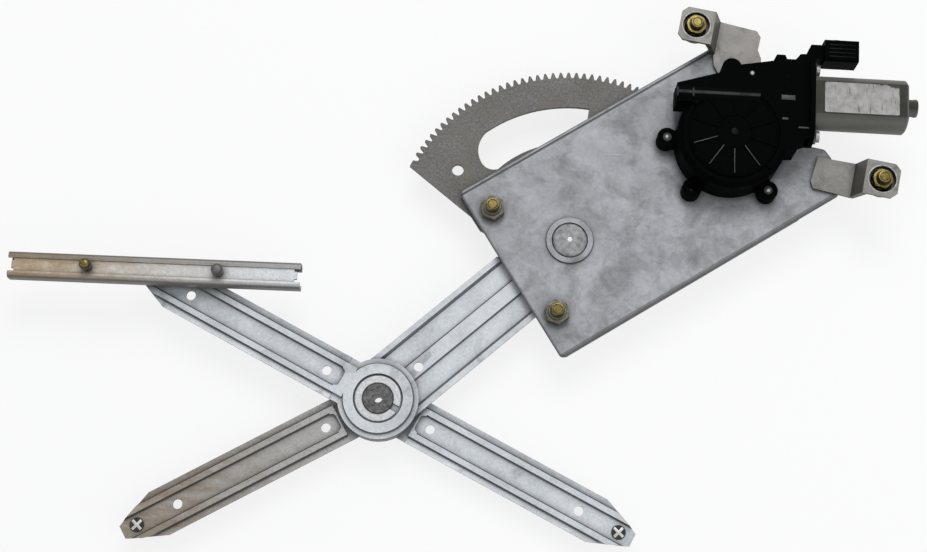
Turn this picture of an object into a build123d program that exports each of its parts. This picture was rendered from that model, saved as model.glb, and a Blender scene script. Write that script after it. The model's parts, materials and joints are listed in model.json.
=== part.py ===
from build123d import *
from math import atan2, cos, degrees, hypot, pi, radians, sin, sqrt, tan
import os

os.makedirs("parts", exist_ok=True)

# Cross-arm window regulator with its motor, in millimetres and degrees.
# The origin is midway between the base plate's two studs, on the face that meets the door panel.
# +Z leaves that face, +X runs along the door.

# Clearances
RUNNING = 0.05  # shaft in its bore
END_PLAY = 0.1  # between flat faces that turn on each other
SLIDING = 0.3  # nylon shoe in its rail

# Base plate, measured along and across its long side from the stud line
PLATE_TURN = 30.7
PLATE_SHEET = 2.0
PLATE_OUTLINE = [
    (-11.3, -60.7),
    (181.6, -60.7),
    (190.5, -39.2),
    (190.0, -32.4),
    (179.4, -22.4),
    (166.6, 56.3),
    (-11.3, 56.3),
]
PLATE_CORNER = 3.0
FLANGE_DEPTH = 4.8
FLANGE_RADIUS = 1.6
TOP_FLANGE_END = 151.6
BOTTOM_FLANGE_END = 153.6
COLLAR_RADIUS = 14.3
COLLAR_RECESS = 10.7
COLLAR_HEIGHT = 1.5

# Fixing studs and nuts
STUD_PITCH = 73.0
STUD_RADIUS = 4.0
STUD_END_RADIUS = 3.8
STUD_TIP = 0.9
STUD_HEAD_RADIUS = 6.4
STUD_HEAD = 1.5
NUT_FLATS = 13.0
PLATE_NUT = 9.5
BRACKET_NUT = 6.5
PLATE_STUD_RISE = 14.0
BRACKET_STUD_RISE = 10.0
UPPER_STUD = (103.4, 141.6)
RIGHT_STUD = (209.6, 46.0)

# Z brackets that carry the two outer studs, measured from the stud
BRACKET_TURN = -12.0
RIGHT_BRACKET_TURN = 168.0
BRACKET_SHEET = 2.0
BRACKET_WIDTH = 21.0
PAD_LEVEL = 16.0
PAD_INNER = 9.4
PAD_OUTER = 9.8
PAD_CHAMFER = 3.4
RISER_RUN = 4.4
DISH_RADIUS = 8.0
DISH_DEPTH = 5.0
DISH_WALL = 1.5
DISH_RIM = 0.8
UPPER_TAB = [(37.4, 9.2), (40.2, 5.7), (39.9, -2.6), (42.7, -7.6), (44.6, -20.0)]
UPPER_TAB_FOOT = [(40.2, -28.0), (22.3, -25.7), (15.6, -17.9)]
RIGHT_TAB = [(37.2, 9.6), (39.1, 5.6), (37.4, -10.0)]

# Main pivot
PIVOT_ALONG = 29.6
PIVOT_ACROSS = -2.7
PIVOT_RADIUS = 8.0
PIVOT_HEAD_RADIUS = 10.3
PIVOT_DOME = [(10.3, 0.6), (9.6, 1.3), (7.6, 1.85), (4.4, 2.2)]
PIVOT_SHOULDER_RADIUS = 12.0
PIVOT_REAR_RADIUS = 12.5

# Sector gear and output pinion
MODULE = 1.5
SECTOR_TEETH = 140
PINION_TEETH = 9
PRESSURE_ANGLE = 20.0
BACKLASH = 0.3
GEAR_TOP = -6.0
GEAR_SHEET = 3.0
FIRST_TOOTH_AT = 148.5
SECTOR_START = 153.1
SECTOR_END = 20.0
HUB_RADIUS = 30.0
SECTOR_LEFT_EDGE = [(106.0, 153.3), (60.4, 164.1), (53.4, 171.4)]
WINDOW_OUTER = 84.7
WINDOW_INNER = 62.0
WINDOW_NOSE = [(84.7, 125.5), (80.6, 131.6), (71.5, 136.2), (66.2, 136.0), (62.0, 132.5)]
WINDOW_END = 81.0
SECOND_WINDOW = (72.0, 32.0)
WINDOW_RADIUS = 6.0
GEAR_HOLE_RADIUS = 3.5
GEAR_HOLE_AT = 79.9
GEAR_HOLE_ANGLE = 145.6
PINION_DIRECTION = 31.6

# Pressed arms
ARM_SHEET = 2.0
ARM_WIDTH = 27.4
ARM_RIM = 3.2
ARM_RIM_LIFT = 0.5
ARM_RIB = 5.0
ARM_RIB_RISE = 2.0
ARM_WALL_RUN = 0.9
ARM_TAPER_BACK = 14.0
ARM_TAPER_FRONT = 5.5
ARM_TIP = 9.2
ARM_TIP_WIDTH = 11.4
ARM_TIP_CHAMFER = 1.8
ARM_HOLE_RADIUS = 2.8
ARM_HOLE_NEAR = 34.4
ARM_HOLE_FROM_END = 25.8
POCKET_START = 26.2
RAIL_ARM_POCKET_START = 24.0
POCKET_CORNER = 2.6
MAIN_ANGLE = -140.2
MAIN_LENGTH = 146.0
GLASS_ARM_ANGLE = -152.4
GLASS_ARM_LENGTH = 155.8
RAIL_ARM_ANGLE = 151.0
RAIL_ARM_LENGTH = 152.2
CROSS_ARM_ANGLE = -28.8
CROSS_ARM_LENGTH = 158.4

# Wide upper half of the main arm
WIDE_WIDTH = 42.6
WIDE_RIM = 3.2
WIDE_RIM_RISE = 2.0
WIDE_WALL_RUN = 1.6
WIDE_STRIP = 10.3
WIDE_STRIP_RISE = 1.4
WIDE_HOLE_FROM_CENTRE = 30.4
WIDE_FORM_START = 38.0
WIDE_FORM_END = 137.0
WIDE_HUB = 25.5

# Centre pivot stack, from the cabin side to the outer side
BOSS_RIM_RADIUS = 23.6
BOSS_RADIUS = 21.0
BOSS_RECESS_RADIUS = 13.8
BOSS_RISE = 2.0
BOSS_FLARE = 14.0
HAT_RADIUS = 18.0
CENTRE_RADIUS = 9.0
CENTRE_HOLE_RADIUS = 2.5
CENTRE_GROOVE = 0.7
CENTRE_FLANGE_RADIUS = 12.0
CENTRE_FLANGE = 1.4
RING_RADIUS = 13.2
RING_SHEET = 1.2
RING_GAP = 4.0
RING_GAP_ANGLE = -30.0
WASHER_RADIUS = 15.5
FRONT_WASHER = 0.5
UPPER_ARM_FLOOR = -6.0
MAIN_ARM_FLOOR = -11.0
GLASS_ARM_FLOOR = -13.0
CROSS_ARM_FLOOR = -16.0
RIVET_RADIUS = 2.5
RIVET_CIRCLE = 20.6
RIVET_ANGLES = (-60, 60, 180)
HUB_RIVET_RADIUS = 1.8
HUB_RIVET_CIRCLE = 20.6
HUB_RIVET_ANGLES = (0, 72, -72)

# Slide studs for the glass channel
SLIDE_SHANK_RADIUS = 3.5
SLIDE_COLLAR_RADIUS = 5.4
SLIDE_COLLAR = 1.5
SLIDE_HEAD_RADIUS = 6.4
SLIDE_HEAD = 6.0
SLIDE_HEAD_EDGE = 1.0
SLIDE_END = -27.0
STAKE_PROUD = 0.5
STAKE_SLOT = (1.1, 1.5, 0.7)

# Guide rail and its shoe
RAIL_TURN = -2.4
RAIL_LENGTH = 170.6
RAIL_WIDTH = 15.5
RAIL_BACK = -1.0
RAIL_FRONT = 10.0
RAIL_SHEET = 1.5
RAIL_LIP = 3.6
RAIL_CORNER = 2.6
RAIL_WEB = 8.0
RAIL_BEAD = 0.8
RAIL_NOTCH = 3.5
RAIL_TAB = 2.5
RAIL_MIDDLE_FROM_STUD = 2.6
RAIL_STUD_RADIUS = 3.0
RAIL_STUD_LENGTH = 9.0
RAIL_STUD_LEFT = -38.9
RAIL_STUD_RIGHT = 37.6
SHOE_LENGTH = 24.0

# Gearbox, in a frame at the pinion axis that is turned with the motor
MOTOR_TURN = -3.2
HOUSING_RADIUS = 32.5
HOUSING_HEIGHT = 25.0
HOUSING_SHOULDER = 3.0
HOUSING_FLOOR = 4.0
SPIGOT_RADIUS = 12.0
LUG_CIRCLE = 37.3
LUG_ANGLES = (180.0, -125.6, -52.2)
LUG_RADIUS = 5.8
LUG_NECK = 9.0
LUG_HEIGHT = 10.0
SCREW_RADIUS = 2.5
SCREW_HEAD_RADIUS = 4.6
SCREW_HEAD = 2.2
SCREW_PROUD = 0.6
COVER_RADIUS = 26.8
COVER_SHEET = 2.0
COVER_EDGE = 0.8
COVER_HUB_RADIUS = 2.0
COVER_RIB = (16.0, 1.2, 0.8)
COVER_RIB_CIRCLE = 17.6
COVER_RIBS = 10
COVER_RIB_AT = -88.8
WORM_OFFSET = 23.0
WORM_LEVEL = 18.0
WORM_BODY_LOW = 6.0
WORM_BODY_HIGH = 27.0
WORM_BODY = [
    (-34.0, 28.5),
    (-34.0, 17.5),
    (-25.0, 17.5),
    (0.0, 0.0),
    (22.0, -22.0),
    (29.0, -9.4),
    (36.6, -9.0),
    (40.0, -2.3),
    (46.5, 0.0),
    (46.5, 50.5),
    (38.0, 50.0),
    (35.0, 46.5),
    (30.0, 46.5),
    (29.0, 49.0),
    (24.0, 49.0),
    (22.0, 45.0),
    (2.5, 41.5),
    (-9.0, 36.0),
]
TOP_LUG = (-2.2, 39.4)
MOTOR_SEAT = 3.0
MOTOR_SEAT_EDGE = 2.0
WORM_TUBE_RADIUS = 4.7
WORM_TUBE_END = -34.4
TUNNEL_RADIUS = 6.6
TUNNEL_END = -24.0
WHEEL_TEETH = 61
WHEEL_MODULE = 0.6
WHEEL_LOW = 14.0
WHEEL_FACE = 8.0
WHEEL_FLOOR = 2.0
WHEEL_CAVITY = 20.6
DAMPER_RADIUS = 14.0
DAMPER = 3.8
DRIVE_PLATE = 1.8
DRIVE_DOGS = 3
DRIVE_DOG = (4.0, 3.0)
DRIVE_DOG_INSET = 3.0
OUTPUT_RADIUS = 5.0
PINION_LOW = -9.5
PINION_HIGH = -3.0
WORM_RADIUS = 3.7
WORM_LENGTH = 26.0
SHAFT_RADIUS = 2.0
SHAFT_START = -30.5

# Motor, along its axis from the gearbox face
MOTOR_FACE = 46.5
MOTOR_FLANGE = 2.0
FLANGE_LUG_OFFSET = 20.5
FLANGE_LUG_RADIUS = 4.6
CAN_RADIUS = 16.0
CAN_THICKNESS = 25.0
CAN_WALL = 1.6
CAN_END = 101.0
CAN_EDGE = 1.2
BOSS_END = 108.0
BOSS_END_RADIUS = 5.1
BOSS_END_WALL = 1.0
CORE_RADIUS = 8.4
CORE_START = 66.0
CORE_LENGTH = 26.0
CORE_SLOTS = 8
CORE_SLOT = (1.6, 3.2)
MAGNET_INNER = 9.0
MAGNET_START = 63.0
MAGNET_LENGTH = 32.0
MAGNET_SPAN = 7.5
COMMUTATOR_RADIUS = 5.0
COMMUTATOR_START = 53.5
COMMUTATOR_LENGTH = 8.0
HOLDER_SHEET = 2.0
BRUSH = 4.0
BRUSH_LENGTH = 4.5
BRUSH_GAP = 0.3
GUIDE_WALL = 1.2
BEARING_OUTER = 3.6
BEARING_LENGTH = 4.5
MOTOR_SCREW_RADIUS = 1.9
MOTOR_SCREW_HEAD_RADIUS = 3.4
MOTOR_SCREW_LENGTH = 9.0

# Connector on the gearbox's upper edge
PLUG_START = 52.0
PLUG_END = 72.0
PLUG_LOW = 46.5
PLUG_HIGH = 59.8
PLUG_BOTTOM = 12.0
PLUG_TOP = 28.0
PLUG_WALL = 2.0
PLUG_FLOOR = 5.0
PLUG_NECK = [(41.5, 50.3), (46.6, 50.6), (46.6, 48.9), (52.0, 48.9), (52.0, 57.0), (44.5, 57.0)]
PLUG_CORNER = 1.5
LATCH_START = 58.5
LATCH = (1.8, 5.0, 3.0)
TERMINAL = (1.0, 3.0, 9.0)
TERMINAL_PITCH = 6.4


def turned(angle, distance=1.0):
    """A point at a distance from the origin, in a direction in degrees."""
    return Vector(distance * cos(radians(angle)), distance * sin(radians(angle)))


def polar(point):
    """A point given as a radius and a direction in degrees."""
    return turned(point[1], point[0])


def level_at(point, height, turn=0.0):
    """A level plane at a height, with its origin over a point and its X turned."""
    return Plane(origin=(point.X, point.Y, height), x_dir=turned(turn), z_dir=(0, 0, 1))


def section_plane(point, height, turn, along=0.0):
    """An upright plane across a direction; its X runs across it and its Y up."""
    base = point + turned(turn, along)
    return Plane(origin=(base.X, base.Y, height), x_dir=turned(turn + 90), z_dir=turned(turn))


plate_along = turned(PLATE_TURN)
plate_across = turned(PLATE_TURN + 90)
origin_point = Vector(0, 0)
stud_points = [plate_across * (STUD_PITCH / 2), plate_across * (-STUD_PITCH / 2)]
upper_stud = Vector(*UPPER_STUD)
right_stud = Vector(*RIGHT_STUD)
pivot = plate_along * PIVOT_ALONG + plate_across * PIVOT_ACROSS
centre = pivot + turned(MAIN_ANGLE, MAIN_LENGTH)
glass_stud = centre + turned(GLASS_ARM_ANGLE, GLASS_ARM_LENGTH)
cross_stud = centre + turned(CROSS_ARM_ANGLE, CROSS_ARM_LENGTH)
rail_stud = centre + turned(RAIL_ARM_ANGLE, RAIL_ARM_LENGTH)
gear_distance = MODULE * (SECTOR_TEETH + PINION_TEETH) / 2
output = pivot + turned(PINION_DIRECTION, gear_distance)
rail_middle = rail_stud + turned(RAIL_TURN, RAIL_MIDDLE_FROM_STUD)
tooth_pitch = 360 / SECTOR_TEETH
gear_bottom = GEAR_TOP - GEAR_SHEET
washer_bottom = UPPER_ARM_FLOOR - FRONT_WASHER
hat_top = washer_bottom - END_PLAY
upper_arm_top = UPPER_ARM_FLOOR + ARM_SHEET


def motor_plane(along, offset=0.0):
    """A plane square to the motor axis; its X points across the motor, its Y towards +Z."""
    base = output + turned(MOTOR_TURN + 90, WORM_OFFSET + offset)
    return section_plane(base, WORM_LEVEL, MOTOR_TURN, along)


def housing_level(height):
    """A level plane at the output axis, with its X along the motor."""
    return level_at(output, height, MOTOR_TURN)


def gear_teeth(teeth, module, angles, backlash, steps=3):
    """The corner points of a run of involute teeth, counter-clockwise."""
    pitch_radius = module * teeth / 2
    tip = pitch_radius + module
    root = pitch_radius - 1.25 * module
    base = pitch_radius * cos(radians(PRESSURE_ANGLE))
    involute = tan(radians(PRESSURE_ANGLE)) - radians(PRESSURE_ANGLE)
    half_tooth = degrees((pi * module - backlash) / 4 / pitch_radius)
    start = max(base, root)
    flank = []
    for step in range(steps):
        radius = start + (tip - start) * step / (steps - 1)
        roll = sqrt(max((radius / base) ** 2 - 1, 0))
        flank.append((radius, half_tooth + degrees(involute - roll + atan2(roll, 1))))
    if root < base:
        flank.insert(0, (root, flank[0][1]))
    points = []
    for angle in angles:
        points += [turned(angle - half, radius) for radius, half in flank]
        points += [turned(angle + half, radius) for radius, half in reversed(flank)]
    return points


def pressed_sheet(profile, sheet):
    """The outline of a sheet of even thickness below an open profile, with mitred corners."""
    lower = []
    last = len(profile) - 1
    for k, (x, y) in enumerate(profile):
        normals = []
        for a, b in ((k - 1, k), (k, k + 1)):
            if a >= 0 and b <= last:
                dx = profile[b][0] - profile[a][0]
                dy = profile[b][1] - profile[a][1]
                normals.append((dy / hypot(dx, dy), -dx / hypot(dx, dy)))
        nx = sum(n[0] for n in normals) / len(normals)
        ny = sum(n[1] for n in normals) / len(normals)
        scale = sheet / (nx * nx + ny * ny)
        lower.append((x + nx * scale, y + ny * scale))
    return profile + lower[::-1]


def mirrored(side):
    """A full profile from its right half."""
    return [(-x, y) for x, y in reversed(side)] + side


arm_half = ARM_WIDTH / 2
rib_out = arm_half - ARM_RIM
rib_in = rib_out - ARM_RIB
narrow_section = pressed_sheet(
    mirrored(
        [
            (rib_in, 0),
            (rib_in + ARM_WALL_RUN, ARM_RIB_RISE),
            (rib_out - ARM_WALL_RUN, ARM_RIB_RISE),
            (rib_out, 0),
            (arm_half, ARM_RIM_LIFT),
        ]
    ),
    ARM_SHEET,
)
wide_half = WIDE_WIDTH / 2
wide_section = pressed_sheet(
    mirrored(
        [
            (WIDE_STRIP / 2 - ARM_WALL_RUN, WIDE_STRIP_RISE),
            (WIDE_STRIP / 2, 0),
            (wide_half - WIDE_RIM - WIDE_WALL_RUN, 0),
            (wide_half - WIDE_RIM, WIDE_RIM_RISE),
            (wide_half, WIDE_RIM_RISE),
        ]
    ),
    ARM_SHEET,
)


def arm_plan(start, length):
    """The plan of an arm along the X axis, from a start to its tapered tip."""
    tip = ARM_TIP_WIDTH / 2
    upper = [
        (start, arm_half),
        (length - ARM_TAPER_BACK, arm_half),
        (length + ARM_TAPER_FRONT, tip),
        (length + ARM_TIP, tip - ARM_TIP_CHAMFER),
    ]
    return upper + [(x, -y) for x, y in reversed(upper)]


# Base plate, with its two turned-back edges and the collar round the main pivot
with BuildPart() as base_plate:
    with BuildSketch(level_at(origin_point, -PLATE_SHEET, PLATE_TURN)) as sheet:
        with BuildLine():
            Polyline(PLATE_OUTLINE, close=True)
        make_face()
        fillet(sheet.vertices(), PLATE_CORNER)
    extrude(amount=PLATE_SHEET)
    plate_left, plate_low = PLATE_OUTLINE[0]
    plate_high = PLATE_OUTLINE[-1][1]
    with BuildSketch(level_at(origin_point, -FLANGE_DEPTH, PLATE_TURN)):
        with Locations((plate_left + PLATE_CORNER, plate_high)):
            Rectangle(TOP_FLANGE_END - plate_left - PLATE_CORNER, PLATE_SHEET, align=(Align.MIN, Align.MAX))
        with Locations((plate_left + PLATE_CORNER, plate_low)):
            Rectangle(BOTTOM_FLANGE_END - plate_left - PLATE_CORNER, PLATE_SHEET, align=(Align.MIN, Align.MIN))
    extrude(amount=FLANGE_DEPTH)
    long_edges = base_plate.edges().filter_by(GeomType.LINE).filter_by(lambda e: e.length > TOP_FLANGE_END - 10)
    fillet(long_edges.group_by(Axis.Z)[-1], FLANGE_RADIUS)
    with BuildSketch(level_at(pivot, 0)):
        Circle(COLLAR_RADIUS)
    extrude(amount=COLLAR_HEIGHT, taper=20)
    with BuildSketch(level_at(pivot, 0)):
        Circle(COLLAR_RECESS)
    extrude(amount=COLLAR_HEIGHT, mode=Mode.SUBTRACT)
    with BuildSketch(level_at(pivot, 0)):
        Circle(PIVOT_RADIUS)
    extrude(amount=-PLATE_SHEET, mode=Mode.SUBTRACT)
    with BuildSketch(level_at(origin_point, 0, PLATE_TURN)):
        with Locations((0, STUD_PITCH / 2), (0, -STUD_PITCH / 2)):
            Circle(STUD_RADIUS)
    extrude(amount=-PLATE_SHEET, mode=Mode.SUBTRACT)
    with BuildSketch(housing_level(0)):
        Circle(SPIGOT_RADIUS)
        with Locations(*[turned(angle, LUG_CIRCLE) for angle in LUG_ANGLES]):
            Circle(SCREW_RADIUS)
    extrude(amount=-PLATE_SHEET, mode=Mode.SUBTRACT)
base_plate.part.label = "base_plate"
export_step(base_plate.part, "parts/base_plate.step")

# Z brackets: pad with a dish for the nut, sloping riser, and a foot fixed to the plate
pad_half = BRACKET_WIDTH / 2
pad_base = PAD_LEVEL - BRACKET_SHEET
dish_floor = PAD_LEVEL - DISH_DEPTH
foot_start = PAD_INNER + RISER_RUN
riser_profile = [
    (PAD_INNER - BRACKET_SHEET, pad_base),
    (foot_start - BRACKET_SHEET / 2, 0),
    (foot_start + BRACKET_SHEET, 0),
    (foot_start + BRACKET_SHEET, BRACKET_SHEET),
    (foot_start + BRACKET_SHEET / 2, BRACKET_SHEET),
    (PAD_INNER + BRACKET_SHEET / 2, PAD_LEVEL),
    (PAD_INNER - BRACKET_SHEET, PAD_LEVEL),
]
bracket_list = [
    ("upper_bracket", upper_stud, BRACKET_TURN, UPPER_TAB + UPPER_TAB_FOOT),
    ("right_bracket", right_stud, RIGHT_BRACKET_TURN, RIGHT_TAB),
]
for name, stud, turn, tab in bracket_list:
    with BuildPart() as bracket:
        with BuildSketch(level_at(stud, 0, turn)):
            with BuildLine():
                Polyline([(foot_start, -pad_half), (foot_start, pad_half)] + tab, close=True)
            make_face()
        extrude(amount=BRACKET_SHEET)
        with BuildSketch(level_at(stud, pad_base, turn)):
            with Locations((PAD_INNER, 0)):
                Rectangle(PAD_INNER + PAD_OUTER, BRACKET_WIDTH, align=(Align.MAX, Align.CENTER))
        extrude(amount=BRACKET_SHEET)
        outer_corners = bracket.edges().filter_by(Axis.Z).group_by(Axis((0, 0, 0), turned(turn)))[0]
        chamfer(outer_corners, PAD_CHAMFER)
        side = Plane(origin=(stud.X, stud.Y, 0), x_dir=turned(turn), z_dir=turned(turn - 90))
        with BuildSketch(side.offset(-pad_half)):
            with BuildLine():
                Polyline(riser_profile, close=True)
            make_face()
        extrude(amount=BRACKET_WIDTH)
        with BuildSketch(level_at(stud, dish_floor - DISH_WALL)):
            Circle(DISH_RADIUS + DISH_WALL)
        extrude(amount=DISH_DEPTH)
        with BuildSketch(level_at(stud, dish_floor)):
            Circle(DISH_RADIUS)
        extrude(amount=DISH_DEPTH, mode=Mode.SUBTRACT)
        with BuildSketch(level_at(stud, dish_floor)):
            Circle(STUD_RADIUS)
        extrude(amount=-DISH_WALL, mode=Mode.SUBTRACT)
        rim = bracket.edges().filter_by(GeomType.CIRCLE).filter_by(lambda e: abs(e.radius - DISH_RADIUS) < 0.1)
        chamfer(rim.group_by(Axis.Z)[-1], DISH_RIM)
    bracket.part.label = name
    export_step(bracket.part, f"parts/{name}.step")

# Studs and nuts: two on the plate, two in the dishes of the brackets
stud_sets = [
    ("plate", stud_points, -PLATE_SHEET, 0.0, PLATE_STUD_RISE, PLATE_NUT),
    ("bracket", [upper_stud, right_stud], dish_floor - DISH_WALL, dish_floor, BRACKET_STUD_RISE, BRACKET_NUT),
]
for name, points, back, face, rise, nut in stud_sets:
    with BuildPart() as studs:
        for point in points:
            with BuildSketch(level_at(point, back - STUD_HEAD)):
                Circle(STUD_HEAD_RADIUS)
            extrude(amount=STUD_HEAD)
            with BuildSketch(level_at(point, back)):
                Circle(STUD_RADIUS)
            extrude(amount=face - back + nut)
            with BuildSketch(level_at(point, face + nut)):
                Circle(STUD_END_RADIUS)
            extrude(amount=rise - nut)
        chamfer(studs.edges().group_by(Axis.Z)[-1], STUD_TIP)
    studs.part.label = f"{name}_studs"
    export_step(studs.part, f"parts/{name}_studs.step")
    with BuildPart() as nuts:
        for point in points:
            with BuildSketch(level_at(point, face)):
                RegularPolygon(NUT_FLATS / 2, 6, major_radius=False, rotation=30)
                Circle(STUD_RADIUS, mode=Mode.SUBTRACT)
            extrude(amount=nut)
    nuts.part.label = f"{name}_nuts"
    export_step(nuts.part, f"parts/{name}_nuts.step")

# Main pivot: peened head in the collar, shoulder behind the plate, journal and rear head
journal_end = gear_bottom - END_PLAY
dome_top = PIVOT_DOME[-1][1]
with BuildPart() as main_pivot:
    with BuildSketch(Plane(origin=(pivot.X, pivot.Y, 0), x_dir=(1, 0, 0), z_dir=(0, -1, 0))):
        with BuildLine():
            Polyline(
                (0, dome_top),
                *PIVOT_DOME[::-1],
                (PIVOT_HEAD_RADIUS, 0),
                (PIVOT_RADIUS, 0),
                (PIVOT_RADIUS, -PLATE_SHEET),
                (PIVOT_SHOULDER_RADIUS, -PLATE_SHEET),
                (PIVOT_SHOULDER_RADIUS, GEAR_TOP + END_PLAY),
                (PIVOT_RADIUS, GEAR_TOP + END_PLAY),
                (PIVOT_RADIUS, journal_end),
                (PIVOT_REAR_RADIUS, journal_end),
                (PIVOT_REAR_RADIUS, MAIN_ARM_FLOOR),
                (0, MAIN_ARM_FLOOR),
                close=True,
            )
        make_face()
    revolve(axis=Axis((pivot.X, pivot.Y, 0), (0, 0, 1)))
main_pivot.part.label = "main_pivot"
export_step(main_pivot.part, "parts/main_pivot.step")

# Sector gear: hub, web with two windows, and the toothed rim
sector_root = MODULE * (SECTOR_TEETH / 2 - 1.25)
tooth_count = int((FIRST_TOOTH_AT - SECTOR_END) / tooth_pitch)
sector_angles = [FIRST_TOOTH_AT - tooth_pitch * k for k in range(tooth_count, -1, -1)]
edge_start = sector_angles[0] - tooth_pitch / 2
sector_outline = [turned(edge_start, sector_root)]
sector_outline += gear_teeth(SECTOR_TEETH, MODULE, sector_angles, BACKLASH)
sector_outline += [turned(SECTOR_START - 2.6, sector_root), turned(SECTOR_START - 1.9, SECTOR_LEFT_EDGE[0][0])]
sector_outline += [polar(point) for point in SECTOR_LEFT_EDGE]
sector_outline += [turned(190.0, HUB_RADIUS), turned(-8.0, HUB_RADIUS)]
rivet_points = [turned(MAIN_ANGLE + angle, RIVET_CIRCLE) for angle in RIVET_ANGLES]
with BuildPart() as sector_gear:
    with BuildSketch(level_at(pivot, gear_bottom)):
        with BuildLine():
            Polyline(sector_outline, close=True)
        make_face()
        Circle(HUB_RADIUS)
    extrude(amount=GEAR_SHEET)
    with BuildSketch(level_at(pivot, gear_bottom)):
        with BuildLine():
            nose = [polar(point) for point in WINDOW_NOSE]
            middle = (WINDOW_END + WINDOW_NOSE[0][1]) / 2
            ThreePointArc(turned(WINDOW_END, WINDOW_OUTER), turned(middle, WINDOW_OUTER), nose[0])
            ThreePointArc(nose[0], nose[1], nose[2])
            ThreePointArc(nose[2], nose[3], nose[4])
            ThreePointArc(nose[4], turned(middle, WINDOW_INNER), turned(WINDOW_END, WINDOW_INNER))
            Line(turned(WINDOW_END, WINDOW_INNER), turned(WINDOW_END, WINDOW_OUTER))
        make_face()
    extrude(amount=GEAR_SHEET, mode=Mode.SUBTRACT)
    with BuildSketch(level_at(pivot, gear_bottom)) as hidden_window:
        with BuildLine():
            high, low = SECOND_WINDOW
            middle = (high + low) / 2
            ThreePointArc(turned(low, WINDOW_OUTER), turned(middle, WINDOW_OUTER), turned(high, WINDOW_OUTER))
            Line(turned(high, WINDOW_OUTER), turned(high, WINDOW_INNER))
            ThreePointArc(turned(high, WINDOW_INNER), turned(middle, WINDOW_INNER), turned(low, WINDOW_INNER))
            Line(turned(low, WINDOW_INNER), turned(low, WINDOW_OUTER))
        make_face()
        fillet(hidden_window.vertices(), WINDOW_RADIUS)
    extrude(amount=GEAR_SHEET, mode=Mode.SUBTRACT)
    with BuildSketch(level_at(pivot, gear_bottom)):
        Circle(PIVOT_RADIUS + RUNNING)
        with Locations(turned(GEAR_HOLE_ANGLE, GEAR_HOLE_AT)):
            Circle(GEAR_HOLE_RADIUS)
        with Locations(*rivet_points):
            Circle(RIVET_RADIUS)
    extrude(amount=GEAR_SHEET, mode=Mode.SUBTRACT)
sector_gear.part.label = "sector_gear"
export_step(sector_gear.part, "parts/sector_gear.step")

# Wide upper half of the main arm, riveted to the back of the sector gear
main_rivets = [turned(angle, HUB_RIVET_CIRCLE) for angle in HUB_RIVET_ANGLES]
with BuildPart() as main_arm_upper:
    with BuildSketch(section_plane(pivot, MAIN_ARM_FLOOR + ARM_SHEET, MAIN_ANGLE, WIDE_FORM_START)):
        with BuildLine():
            Polyline(wide_section, close=True)
        make_face()
    extrude(amount=WIDE_FORM_END - WIDE_FORM_START)
    with BuildSketch(level_at(pivot, MAIN_ARM_FLOOR, MAIN_ANGLE)):
        Circle(WIDE_HUB)
        Rectangle(WIDE_FORM_START + 1.0, WIDE_WIDTH, align=(Align.MIN, Align.CENTER))
        with Locations((MAIN_LENGTH, 0)):
            Circle(BOSS_RIM_RADIUS)
            Rectangle(MAIN_LENGTH - WIDE_FORM_END + 1.0, WIDE_WIDTH, align=(Align.MAX, Align.CENTER))
    extrude(amount=ARM_SHEET)
    with BuildSketch(level_at(centre, MAIN_ARM_FLOOR)):
        Circle(HAT_RADIUS)
    extrude(amount=hat_top - MAIN_ARM_FLOOR, taper=20)
    with BuildSketch(level_at(centre, MAIN_ARM_FLOOR)):
        Circle(HAT_RADIUS - 2 * ARM_SHEET)
    extrude(amount=hat_top - MAIN_ARM_FLOOR - ARM_SHEET, mode=Mode.SUBTRACT)
    with BuildSketch(level_at(centre, MAIN_ARM_FLOOR, MAIN_ANGLE)):
        Circle(CENTRE_RADIUS + RUNNING)
        with Locations((-WIDE_HOLE_FROM_CENTRE, 0)):
            Circle(ARM_HOLE_RADIUS)
        with Locations(*main_rivets):
            Circle(HUB_RIVET_RADIUS)
    extrude(amount=-MAIN_ARM_FLOOR, mode=Mode.SUBTRACT)
    with BuildSketch(level_at(pivot, MAIN_ARM_FLOOR)):
        Circle(PIVOT_REAR_RADIUS + SLIDING)
        with Locations(*rivet_points):
            Circle(RIVET_RADIUS)
    extrude(amount=ARM_SHEET, mode=Mode.SUBTRACT)
main_arm_upper.part.label = "main_arm_upper"
export_step(main_arm_upper.part, "parts/main_arm_upper.step")

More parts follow.
